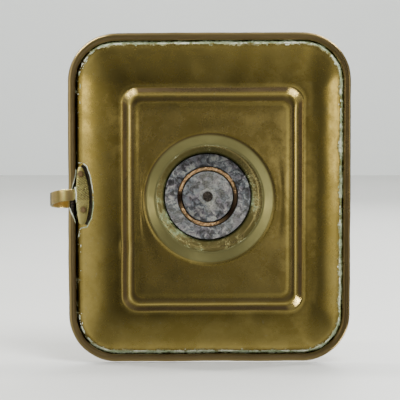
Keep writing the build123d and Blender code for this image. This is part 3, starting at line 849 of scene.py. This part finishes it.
# On the roll's outside, the underside is lighter (rub and painted highlight), the outermost line and the
# right side are painted dark (painted shade), and elsewhere it keeps a brown bronze tone.
to_right = np.clip(wire_out[:, 0], 0, 1)
for k in range(25):
    turn = between(tails, TOUCH, k / 24)
    under = np.clip(-np.sin(turn), 0, 1) * np.clip(np.cos(turn) + 0.5, 0, 1)
    outermost = np.clip((np.cos(turn) - 0.82) / 0.12, 0, 1)
    add(from_wire(ROLL_RADIUS * np.cos(turn), ROLL_HEIGHT + ROLL_RADIUS * np.sin(turn)),
        crevice=0.45 * max(0.0, 1 - k / 3), rubbed=0.4 * under * (1 - 0.8 * to_right),
        shaded=np.maximum(0.9 * outermost, 0.7 * to_right),
        browned=1 - np.maximum(0.6 * outermost, 0.45 * to_right))
print("loops round the wire too", len(tray_stack))

# %% Back over the top
crest = ROLL_RADIUS * math.cos(TOUCH), ROLL_HEIGHT + ROLL_RADIUS * math.sin(TOUCH)
for k in range(1, 9):
    share = k / 8
    add(from_wire(between(crest[0], -FLANGE_REACH, share), between(crest[1], FLANGE_HEIGHT + SHEET, share)),
        crevice=0.3 * (1 - share))
for k in range(1, 13):
    share = 1 - k / 12
    add(at_height(between(shelf_line, edge_line, share), SHELF_HEIGHT + SHEET + FLANGE_RISE * share**2))
for share, height in reversed(step_section()[1:-1]):
    add(at_height(between(base_line, shelf_line, share), height + SHEET),
        rubbed=0.3 * (share > 0.8), crevice=0.3 * (share < 0.3))
for k in range(9):
    share = 1 - k / 8
    add(between(foot, at_height(base_line, 0), share) + (0, 0, SHEET), crevice=0.3 * share**6)
for radius, height in reversed(boss[1:-1]):
    add(boss_loop(radius, height + SHEET))

# %% The tray's mesh
DENT_AT, DENT_REACH, DENT_DEPTH = np.array([-37.5, 22.5]), np.array([2.2, 4.0]), 0.45
FLANGE_STARTS = 6.5                 # the dent is only in what lies below this height
for loop, _ in tray_stack:
    gap = (loop[:, :2] - DENT_AT) / DENT_REACH
    loop[:, 2] += DENT_DEPTH * np.exp(-(gap**2).sum(1)) * (loop[:, 2] < FLANGE_STARTS)
tray_marks = {name: np.array([marks[i] for _, marks in tray_stack]) for i, name in enumerate(MARKS)}
tray_piece = skin("tray_sheet", [loop for loop, _ in tray_stack], "stick", tray_brass,
                  close_rows=True, marks=tray_marks)
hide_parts("tray")
print("tray", len(tray_piece.data.vertices), "points, height", tray_piece.dimensions.z)

# %% The wire in the rim
WIRE_RADIUS = 1.06
wire_loops = []
for turn in 2 * math.pi * np.arange(16) / 16:
    out, up = WIRE_RADIUS * math.cos(turn), WIRE_RADIUS * math.sin(turn)
    wire_loops.append(handworked(from_wire(out, ROLL_HEIGHT + up)))
wire_piece = skin("rim_wire_drawn", wire_loops, "stick", iron_wire, close_rows=True)
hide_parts("rim_wire")

# %% [markdown]
# ## The stem
# The foot, the tube, the collar and the drip ring were spun or turned, so each is a lathe outline, with
# every corner eased. A spun piece is never quite round, and a very small wobble in the radius breaks up
# the rings that a perfect lathe mesh reflects. Outlines are points of radius and height, and each mask is
# a rule of them and of the angle round the axis.

# %% Foot
NECK_BORE, NECK_CURVE, NECK_CENTRE = 13.6, 11.35, 16.0
NECK_POINTS = 12
FOOT_EDGE = 31.4
IN_RECESS = 5.3                     # what is lower than this faces the table in the recess


def neck_curve(wall, low):
    """The foot's hollow curve, inside or outside, from its top down to a height."""
    return [(NECK_BORE + NECK_CURVE - math.sqrt((NECK_CURVE - wall) ** 2 - (NECK_CENTRE - z) ** 2), z)
            for z in np.linspace(NECK_CENTRE, low, NECK_POINTS)]


foot_inside = [(30.7, 0.9), (30.7, 1.3), (25.9, 4.35), (23.4, 4.5), (22.9, 4.8), (19.9, 5.0), (19.9, 6.85)]
foot_inside += neck_curve(0, 7.4)[::-1]
foot_outside = [(NECK_BORE, 20.0), (14.3, 20.0)] + neck_curve(0.7, 8.1)
foot_outside += [(20.6, 7.35), (20.6, 5.7), (26.2, 5.05), (FOOT_EDGE, 1.7), (FOOT_EDGE, 0.9)]
in_neck = [0.0] * NECK_POINTS
foot_radii = [0.1, 0.2, 1.2, 0.15, 0.15, 0.35, 0.3] + in_neck + [0.1, 0.25] + in_neck
foot_radii += [0.5, 0.4, 0.9, 1.0, 0.15]
# The foot's recess and its half towards -Y, up in the picture, are painted dark as painted shade; a thin ring
# at radius 23.1 in the recess is a painted highlight; its edge and its upper stem are worn bright.
foot_piece = lathe(
    "stem_foot_spun", with_more_points(rounded(foot_inside + foot_outside, foot_radii)), "stick", stem_brass,
    "stem_brass", 192, 0.003,
    crevice=lambda r, z, a: (0.30 + 0.32 * toward(a, 140, 100) + 0.2 * toward(a, 0, 60)
                             if z < IN_RECESS and r < 25.5 else 0.25),
    rubbed=lambda r, z, a: (0.6 if abs(r - FOOT_EDGE) < 0.4 or z > 12
                            else hump(r, 23.1, 0.35) * (z < IN_RECESS)),
    shaded=lambda r, z, a: 0.9 if r < 20.4 and z < 6.9 else 0.1 + 0.5 * toward(a, -90, 90) * (z < IN_RECESS),
)
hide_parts("stem_foot")

# %% Base plate and candle tube
PLATE_BORE, PLATE_EDGE, PLATE_UNDER, PLATE_TOP = 13.68, 19.55, 5.62, 6.8
TUBE_RADIUS, TUBE_BORE, GUIDE_BORE = 13.5, 12.1, 11.9
TUBE_UNDER, TUBE_TOP, SOCKET_FLOOR = 5.4, 80.0, 50.0
RIB_BORE, RIB_UNDER, RIB_TOP, GROOVE = 10.6, 46.5, 47.7, 0.5
plate_outline = rounded([(PLATE_BORE, PLATE_TOP), (PLATE_BORE, PLATE_UNDER), (PLATE_EDGE, PLATE_UNDER),
                         (PLATE_EDGE, PLATE_TOP)], (0.1, 0.22, 0.45, 0.1), 5)
# The disc is painted dark at its top in the picture and at both its edges, as painted shade; the paler
# patches towards its lower right and lower left are worn tin and painted highlight.
plate_piece = lathe(
    "base_plate_tinned", with_more_points(plate_outline), "stick", tinned_iron, "tinned_iron", 192, 0.003,
    shaded=lambda r, z, a: np.maximum(0.6 * toward(a, -90, 75), 0.9 * (r < 13.9 or r > 19.4)),
    rubbed=lambda r, z, a: 0.35 * toward(a, 45, 60) + 0.3 * toward(a, 150, 50),
)
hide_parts("base_plate")

tube_outline = rounded(
    [(GUIDE_BORE, TUBE_UNDER), (TUBE_RADIUS, TUBE_UNDER), (TUBE_RADIUS, RIB_UNDER - GROOVE),
     (TUBE_RADIUS - GROOVE, RIB_UNDER), (TUBE_RADIUS - GROOVE, RIB_TOP), (TUBE_RADIUS, RIB_TOP + GROOVE),
     (TUBE_RADIUS, TUBE_TOP), (TUBE_BORE, TUBE_TOP), (TUBE_BORE, SOCKET_FLOOR), (GUIDE_BORE, SOCKET_FLOOR),
     (GUIDE_BORE, RIB_TOP), (RIB_BORE, RIB_TOP), (RIB_BORE, RIB_UNDER), (GUIDE_BORE, RIB_UNDER)],
    (0.3, 0.35, 0.4, 0.3, 0.3, 0.4, 0.3, 0.3, 0.05, 0.05, 0.1, 0.3, 0.3, 0.1))


def tube_shaded(r, z, a):
    """Two dark places on the tube's lower end, and all of its inside."""
    if z < 6:
        return np.maximum(1.5 * toward(a, 20, 62), 1.3 * toward(a, 178, 26)).clip(0, 1)
    return 0.0 if r > 12.9 else 0.7


# The tube's lower end is painted dark towards the right and the left, and inside, as painted shade; it is
# lighter towards the upper right and lower left, as wear and painted highlight.
tube_piece = lathe(
    "candle_tube_drawn", tube_outline, "stick", tube_brass, "tube_brass", 192, 0.004,
    crevice=lambda r, z, a: 0.42 if abs(z - 47) < 0.8 else 0.3 * toward(a, 200, 60) if z < 6.2 else 0.0,
    rubbed=lambda r, z, a: (0.7 if z > 79
                            else 0.6 * toward(a, -70, 100) + 0.6 * toward(a, 110, 60) if z < 6 else 0.1),
    shaded=tube_shaded,
)
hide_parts("candle_tube")

# %% Collar and drip ring
bead = [(15.0 + 1.8 * math.sin(a), 22.5 - 1.9 * math.cos(a)) for a in np.linspace(0, math.pi, 15)]
collar_outline = rounded([(13.6, 25.0), (13.6, 20.0), (15.0, 20.0)] + bead + [(15.0, 25.0)],
                         [0.1, 0.1, 0.2] + [0.0] * len(bead) + [0.2])
collar_piece = lathe(
    "tube_collar_beaded", collar_outline, "stick", stem_brass, "stem_brass",
    crevice=lambda r, z, a: 0.45 if r < 15.4 else 0.0,
    rubbed=lambda r, z, a: 0.9 if r > 16.2 else 0.0,
    shaded=lambda r, z, a: 0.3 if r < 15.4 else 0.0,
)
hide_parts("tube_collar")

lip = [(20.9 + 1.1 * math.cos(a), 78.4 + 1.1 * math.sin(a)) for a in np.radians(np.linspace(-150, 160, 18))]
drip_sleeve = [(13.55, 77.4), (13.55, 73.5), (14.35, 73.5), (14.35, 75.3), (15.5, 76.1), (18.3, 76.5)]
drip_outline = rounded(drip_sleeve + lip + [(18.5, 77.4), (15.6, 77.0)],
                       [0.2, 0.2, 0.2, 0.5, 0.6, 0.8] + [0.0] * len(lip) + [0.8, 0.8])
drip_piece = lathe(
    "drip_ring_turned", drip_outline, "stick", stem_brass, "stem_brass",
    crevice=lambda r, z, a: 0.5 if r < 15.8 else 0.2 if r < 19 else 0.0,
    rubbed=lambda r, z, a: 0.9 if r > 20.8 else 0.0,
    shaded=lambda r, z, a: 0.2 if r < 16 else 0.0,
)
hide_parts("drip_ring")
print("stem", foot_piece.dimensions.z, tube_piece.dimensions.z, drip_piece.dimensions.x)

# %% [markdown]
# ## The ejector
# Pushing the grey button slides the rod and its platform up the tube. These pieces ride on the ejector's
# body, so they follow the joint, and the button's edge is eased where fingers have worn it.

# %% Button, rod, platform and leather
TENON, ROD, HEAD_RADIUS, HEAD_HEIGHT = 1.4, 2.0, 2.3, 0.6
DISC_EDGE, LEATHER_EDGE = 11.6, 11.4
BUTTON_UNDER, BUTTON_TOP = 5.6, 6.9
LEATHER_UNDER, PLATFORM_UNDER, PLATFORM_TOP = 48.0, 48.7, 49.7
BURR_HEIGHT = 0.9


def disc_outline(low, high, edge, radii, steps):
    """A disc with the tenon's hole, as an outline to turn."""
    return rounded([(TENON, high), (TENON, low), (edge, low), (edge, high)], radii, steps)


button_outline = disc_outline(BUTTON_UNDER, BUTTON_TOP, DISC_EDGE, (0.0, 0.0, 0.55, 0.2), 6)
# The button's edge and a patch towards its lower left are painted dark, as painted shade; a pale smear
# towards its lower right, a ring round the rod's head and its upper right are worn tin and painted highlight.
button_piece = lathe(
    "push_button_worn", with_more_points(button_outline), "ejector", tinned_iron, "tinned_iron", 160, 0.004,
    shaded=lambda r, z, a: 0.9 if r > 11.4 else 0.5 * toward(a, 120, 35) * (r > 6),
    rubbed=lambda r, z, a: (1.1 * toward(a, 69, 40) * hump(r, 4.6, 2.4) + 0.7 * hump(r, 3.2, 0.6)
                            + 0.45 * toward(a, -60, 120)),
)
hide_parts("push_button")

head = [(HEAD_RADIUS * math.sin(a), BUTTON_UNDER - HEAD_HEIGHT * math.cos(a))
        for a in np.linspace(0.12, math.pi / 2, 8)]
rod_low, rod_high = BUTTON_TOP + BURR_HEIGHT, LEATHER_UNDER - BURR_HEIGHT
shaft = [(TENON, BUTTON_UNDER), (TENON, rod_low), (ROD, rod_low), (ROD, rod_high), (TENON, rod_high),
         (TENON, PLATFORM_TOP)]
rod_outline = rounded([(0.0, PLATFORM_TOP), (0.0, BUTTON_UNDER - HEAD_HEIGHT)] + head + shaft,
                      [0.0] * 12 + [0.2, 0.2, 0.0, 0.3])
rod_outline = [(max(r, 0.01), z) for r, z in rod_outline]
rod_piece = lathe("ejector_rod_riveted", rod_outline, "ejector", iron_wire, "iron_wire", 48)
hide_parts("ejector_rod")

platform_outline = disc_outline(PLATFORM_UNDER, PLATFORM_TOP, DISC_EDGE, (0.0, 0.0, 0.3, 0.4), 5)
platform_piece = lathe("ejector_platform_pressed", platform_outline, "ejector", tube_brass, "tube_brass", 128)
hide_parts("ejector_platform")

leather_outline = disc_outline(LEATHER_UNDER, PLATFORM_UNDER, LEATHER_EDGE, (0.0, 0.0, 0.25, 0.25), 4)
leather_piece = lathe("platform_leather_cut", leather_outline, "ejector", leather, "leather", 128, 0.006)
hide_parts("platform_leather")

# %% Pieces that keep their CAD mesh
for node, finish in (("button_burr", iron_wire), ("platform_burr", rivet_brass),
                     ("handle_rivets", rivet_brass), ("rivet_washers", rivet_brass)):
    for slot in bpy.data.objects[node].material_slots:
        slot.material = finish
print("ejector", button_piece.dimensions.x, rod_piece.dimensions.z)

# %% [markdown]
# ## The finger ring
# The ring is one flat strap. It starts against the saddle plate, passes outside the rim, goes round, and
# curls away at its free end. Its section is a rectangle with eased edges, swept along stations worked out
# from the ring's radius, and it leans a little to one side as a ring that has been carried by does.

# %% Strap
RING_RADIUS, RING_X, RING_Z = 12.25, -60.2, 21.95
RING_SWEEP, CURL_RADIUS, CURL_SWEEP = 250.0, 4.5, 75.0
ROOT_X, ROOT_Y, LEAN = -59.9, -0.6, 4.3
ROOT_WIDTH, WIDENING, HALF_THICK, DISHING = 5.1, 1.7, 0.75, 0.10


def strap_stations():
    """The strap's middle line: x, height, heading, and how far round it is in degrees."""
    yield ROOT_X, RING_Z - RING_RADIUS, 180.0, 0.0
    for i in range(101):
        turn = RING_SWEEP * i / 100
        angle = math.radians(-90 - turn)
        yield RING_X + RING_RADIUS * math.cos(angle), RING_Z + RING_RADIUS * math.sin(angle), 180 - turn, turn
    out = math.radians(-90 - RING_SWEEP)
    reach = RING_RADIUS + CURL_RADIUS
    curl = RING_X + reach * math.cos(out), RING_Z + reach * math.sin(out)
    for i in range(1, 31):
        turn = CURL_SWEEP * i / 30
        angle = out + math.pi + math.radians(turn)
        heading = 180 - RING_SWEEP + turn
        x, z = curl[0] + CURL_RADIUS * math.cos(angle), curl[1] + CURL_RADIUS * math.sin(angle)
        yield x, z, heading, RING_SWEEP


def strap_loops():
    """The strap's sections and, for each of their points, its wear and painted highlight, painted shade and
    painted brown.
    """
    loops, wear_and_painted_light = [], []
    stations = list(strap_stations())
    for i, (x, z, heading, turn) in enumerate(stations):
        width = ROOT_WIDTH + WIDENING * min(turn, 180) / 180
        lean = LEAN * math.sin(math.pi / 2 * (z - RING_Z + RING_RADIUS) / (2 * RING_RADIUS))
        end = min(1.0, 0.55 + 0.15 * min(i, len(stations) - 1 - i))
        half_wide, half_thick = width / 2 * end, HALF_THICK * min(1.0, end + 0.1)
        section = rounded([(-half_wide, -half_thick), (half_wide, -half_thick), (half_wide, half_thick),
                           (-half_wide, half_thick)], 0.5, 5)
        turned_to = math.radians(heading)
        normal = -math.sin(turned_to), math.cos(turned_to)
        hammered = 0.12 * noise.noise(Vector((x, z, 0)) * 0.25)
        dished = [(a, b * (1 - DISHING * (a / half_wide) ** 2)) for a, b in section]
        loops.append(np.array([(x + normal[0] * b, ROOT_Y + lean + a + hammered, z + normal[1] * b)
                               for a, b in dished]))
        below = z < RING_Z
        # Below the ring's middle, bands at fixed places along x are painted in: two painted highlights,
        # painted shade towards the free end, and brown bands between them, as painted reflections of the
        # room.
        shine = (hump(x, -65.4, 0.7) + hump(x, -60.7, 0.6)) * below
        dark = (0.85 * hump(x, -67.8, 1.1) + 0.9 * (x < -71.2)) * below
        brown = (0.9 * hump(x, -63.2, 1.3) + 0.7 * hump(x, -70.2, 0.9)) * below
        wear_and_painted_light.append([(abs(b) / half_thick * 0.1 + (abs(a) / half_wide) ** 8 * 0.6 + shine, dark, brown)
                     for a, b in section])
    for end in (0, -1):
        middle = loops[end].mean(0)
        cap = [middle + (loops[end] - middle) * s for s in (0.6, 0.05)]
        if end == 0:
            loops, wear_and_painted_light = cap[::-1] + loops, [wear_and_painted_light[0]] * 2 + wear_and_painted_light
        else:
            loops, wear_and_painted_light = loops + cap, wear_and_painted_light + [wear_and_painted_light[-1]] * 2
    return loops, np.array(wear_and_painted_light)


strap_skin, strap_wear_and_light = strap_loops()
strap_marks = {mark: strap_wear_and_light[:, :, i] for i, mark in enumerate(("rubbed", "shaded", "browned"))}
strap_marks["crevice"] = np.zeros(strap_wear_and_light.shape[:2])
strap_marks["crevice"][:6] = 0.5
strap_piece = skin("handle_strap_forged", strap_skin, "stick", handle_brass,
                   marks=strap_marks)
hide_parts("handle_strap")
print("strap", strap_piece.dimensions)

# %% [markdown]
# ## The saddle plate
# The leaf-shaped plate under the flange is filed and slightly domed. Its outline is four arcs, and rings
# inside that outline climb from a soft edge to a low crown along the middle.

# %% Plate
def arc_through(first, middle, last, count):
    """Points on the circle through three points, without the last one."""
    a, b, c = (np.array(p, float) for p in (first, middle, last))
    d = 2 * (a[0] * (b[1] - c[1]) + b[0] * (c[1] - a[1]) + c[0] * (a[1] - b[1]))
    squares = [p @ p for p in (a, b, c)]
    x = (squares[0] * (b[1] - c[1]) + squares[1] * (c[1] - a[1]) + squares[2] * (a[1] - b[1])) / d
    y = (squares[0] * (c[0] - b[0]) + squares[1] * (a[0] - c[0]) + squares[2] * (b[0] - a[0])) / d
    centre = np.array([x, y])
    angles = np.unwrap([math.atan2(*(p - centre)[::-1]) for p in (a, b, c)])
    radius = np.linalg.norm(a - centre)
    turns = np.linspace(angles[0], angles[2], count, endpoint=False)
    return [centre + radius * np.array([math.cos(t), math.sin(t)]) for t in turns]


leaf = np.array(
    arc_through((-59.3, -12.3), (-58.2, -13.4), (-56.9, -12.4), 10)
    + arc_through((-56.9, -12.4), (-53.9, 2.5), (-55.6, 12.0), 60)
    + arc_through((-55.6, 12.0), (-57.2, 13.2), (-58.9, 12.0), 10)
    + arc_through((-58.9, 12.0), (-60.2, -1.0), (-59.3, -12.3), 60))
leaf_spine = np.column_stack([np.full(len(leaf), -57.2), np.clip(leaf[:, 1], -11.3, 11.0)])
PLATE_TILT = math.tan(math.radians(16))
PLATE_INNER = (-53.9, 8.7)          # x and height of the top face's inner edge
RIVET_FEET = (-57.9, -10.1), (-56.6, 6.1)


def leaf_loop(inset, sink):
    """A ring inside the leaf's outline, sunk so far below the plate's top face."""
    line = leaf + (leaf_spine - leaf) * inset
    return at_height(line, PLATE_INNER[1] + (PLATE_INNER[0] - line[:, 0]) * PLATE_TILT - sink)


plate_rings = [(1.0, 0.0), (0.5, 0.0), (0.06, 0.0), (0.0, 0.1), (0.0, 0.9), (0.03, 1.12), (0.09, 1.28),
               (0.2, 1.40), (0.4, 1.50), (0.6, 1.53), (0.8, 1.55), (1.0, 1.55)]
plate_loops = [leaf_loop(*ring) for ring in plate_rings]
plate_x, plate_y, _ = np.moveaxis(np.array(plate_loops), 2, 0)
plate_face = np.array([0.0 if k < 4 else 1.0 for k in range(len(plate_rings))])[:, None]
round_rivets = sum(hump(np.hypot(plate_x - x, plate_y - y), 1.3, 0.4) for x, y in RIVET_FEET)
# The plate's face is painted lighter, most towards -Y, as polish and painted highlight; a line across it at y
# 2.45, its end towards +Y and rings round the rivets are painted dark as painted shade.
plate_marks = {
    "rubbed": plate_face * (0.95 + 0.5 * hump(plate_y, -5.0, 6.0)) * (1 - 0.8 * round_rivets.clip(0, 1)),
    "filed": plate_face * np.clip((2.2 - plate_y) / 0.8, 0, 1) * np.clip((plate_y + 11.5) / 2, 0, 1),
    "shaded": plate_face * np.clip(0.7 * hump(plate_y, 2.45, 0.35) + 0.3 * hump(plate_y, 11.5, 3.0)
                                   + 0.9 * round_rivets, 0, 1),
    "crevice": np.maximum(0.5 * (1 - plate_face), 0.62 * np.clip((-58.9 - plate_x) / 0.5, 0, 1)),
}
saddle_piece = skin("handle_plate_filed", plate_loops, "stick", handle_brass,
                    marks=plate_marks)
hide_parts("handle_plate")
print("plate", saddle_piece.dimensions)

# %% [markdown]
# ## Verdigris crust
# Where the film is thickest, verdigris stands up from the metal: in the bend beside the roll, round the
# saddle plate, and on the roll's cut edge. Colour alone would look painted on, so these are thin ridges
# of real mesh. Each ridge follows a line drawn in plan. A ray from below finds the metal, and noise thins
# the ridge until it sinks out of sight, which leaves it broken into crumbs. A near-black strip of painted
# shadow beside the plate and old lacquer on the tube's end are laid the same way.

# %% Ridges laid on the metal
SUNK, BACKING = 0.04, 0.12          # how far a ridge's foot and its back lie inside the metal
metal = BVHTree.FromObject(tray_piece, bpy.context.evaluated_depsgraph_get())


def metal_height(x, y, fallback):
    """Height of the tray's underside at a place, in millimetres."""
    hit = metal.ray_cast(Vector((x, y, -10)) * MM, Vector((0, 0, 1)))
    return hit[0].z / MM if hit[0] else fallback


def evenly(points, step):
    """The same line with points at an even spacing."""
    points = np.array(points, float)
    lengths = np.r_[0, np.cumsum(np.linalg.norm(np.diff(points, axis=0), axis=1))]
    marks = np.linspace(0, lengths[-1], max(2, round(lengths[-1] / step)))
    return np.column_stack([np.interp(marks, lengths, points[:, i]) for i in range(points.shape[1])])


def crust_ridge(name, line, width, tall, broken=0.5, seed=0.0, given_heights=False, material=crust):
    """A ridge along a line. Broken, a number or a rule of x and y, is how much of it sinks away."""
    line = evenly(line, 0.35)
    along = np.gradient(line[:, :2], axis=0)
    along /= np.linalg.norm(along, axis=1)[:, None]
    aside = np.column_stack([-along[:, 1], along[:, 0]])
    loops, last = [], 12.0
    for i, point in enumerate(line):
        x, y = point[:2]
        patches = noise.noise(Vector((x * 0.35, y * 0.35, seed)))
        crumbs = noise.noise(Vector((x * 1.3, y * 1.3, seed + 5)))
        grown = 0.5 + 0.9 * patches + 0.5 * crumbs
        missing = broken(x, y) if callable(broken) else broken
        share = min(1.0, max(-0.3, (grown - missing + 0.25) * 2.0))
        uneven = 1 + 0.4 * noise.noise(Vector((x, y, seed + 9)) * 1.7)
        wide = width / 2 * (0.6 + 0.5 * max(0.0, share)) * uneven
        loop = []
        for k in range(7):
            u = -1 + k / 3
            at = (x + aside[i][0] * u * wide, y + aside[i][1] * u * wide)
            lump = 1 + 0.5 * noise.noise(Vector((*at, seed + 3)) * 3.1)
            last = point[2] if given_heights else metal_height(*at, last)
            loop.append((*at, last + SUNK - tall * share * lump * (1 - u * u)))
        floor_z = max(p[2] for p in loop) + BACKING
        loop += [(loop[-1][0], loop[-1][1], floor_z), (loop[0][0], loop[0][1], floor_z)]
        loops.append(np.array(loop))
    for end in (0, -1):
        middle = loops[end].mean(0)
        loops[end] = middle + (loops[end] - middle) * 0.05
    return skin(name, loops, "stick", material)


# %% Crust in the bend of the flange, round the plate, and on the roll's cut edge
def missing_in_bend(x, y):
    """The left side was wiped cleanest, the near and far sides least."""
    if x < -55 and abs(y) < 55:
        return 1.05
    if x > 55 and abs(y) < 55:
        return 0.62
    return 0.45 if y < 0 else 0.35


def closed(line):
    """The line with its first point again at the end."""
    return np.vstack([line, line[:1]])


crust_ridge("verdigris_bend", closed(handworked(from_wire(-3.0, 12.0))), 0.85, 0.2, broken=missing_in_bend)
crust_ridge("verdigris_bend_inner", closed(handworked(from_wire(-3.9, 12.0))), 0.6, 0.1, broken=0.95,
            seed=20.0)
beside_plate = [(-59.4, -15.0), (-57.3, -15.2), (-55.2, -13.6), (-53.4, -8.5), (-52.3, -2.0), (-52.1, 4.5),
                (-53.0, 10.0), (-55.2, 14.2), (-57.6, 14.6), (-58.8, 15.6), (-59.2, 19.0)]
crust_ridge("verdigris_round_plate", beside_plate, 0.55, 0.22, broken=0.35, seed=3.0)
# Painted shadow: a near-black strip under the plate's inner edge, for the shade in the gap where the plate
# stands off the flange.
under_plate_edge = [(-57.8, -14.0), (-56.0, -13.0), (-54.6, -8.5), (-53.4, -2.0), (-53.1, 4.5), (-54.0, 9.8),
                    (-55.8, 13.3)]
crust_ridge("grime_round_plate", under_plate_edge, 1.9, 0.11, broken=-1.0, seed=30.0, material=gap_shadow_paint)


def lost_from_ring(x, y):
    """The old lacquer on the tube's end is gone at the right and at the left."""
    turn = math.atan2(y, x)
    return 0.25 + 1.2 * float(toward(turn, 25, 62)) + 1.0 * float(toward(turn, 178, 28))


turns = np.linspace(0, 2 * math.pi, 160)
RING_MIDDLE = 12.7                  # radius of the middle of the tube's end
ring_line = at_height(RING_MIDDLE * np.column_stack([np.cos(turns), np.sin(turns)]), TUBE_UNDER)
crust_ridge("lacquer_ring", ring_line, 1.25, 0.16, broken=lost_from_ring, seed=40.0, given_heights=True,
            material=lacquer)


def along_cut_edge(low, high, radius):
    """The roll's cut edge between two places on the handle's side."""
    tails = tail_angles()
    edge = from_wire(radius * np.cos(tails), ROLL_HEIGHT + radius * np.sin(tails))
    edge = edge[(wire_out[:, 0] < -0.99) & (edge[:, 1] > low) & (edge[:, 1] < high)]
    return handworked(edge[np.argsort(edge[:, 1])])


for name, low, high in (("upper", -12.5, -2.6), ("lower", 3.2, 13.5)):
    crust_ridge(f"verdigris_cut_edge_{name}", along_cut_edge(low, high, 1.75), 0.6, 0.2, broken=0.1, seed=7.0,
                given_heights=True)
root_crack = [(-60.6, -4.2, 9.6), (-60.1, -2.4, 9.3), (-59.9, -0.8, 9.1), (-60.0, 1.0, 9.1),
              (-59.6, 3.0, 9.3)]
crust_ridge("verdigris_root_crack", root_crack, 0.8, 0.3, broken=0.1, seed=11.0, given_heights=True)
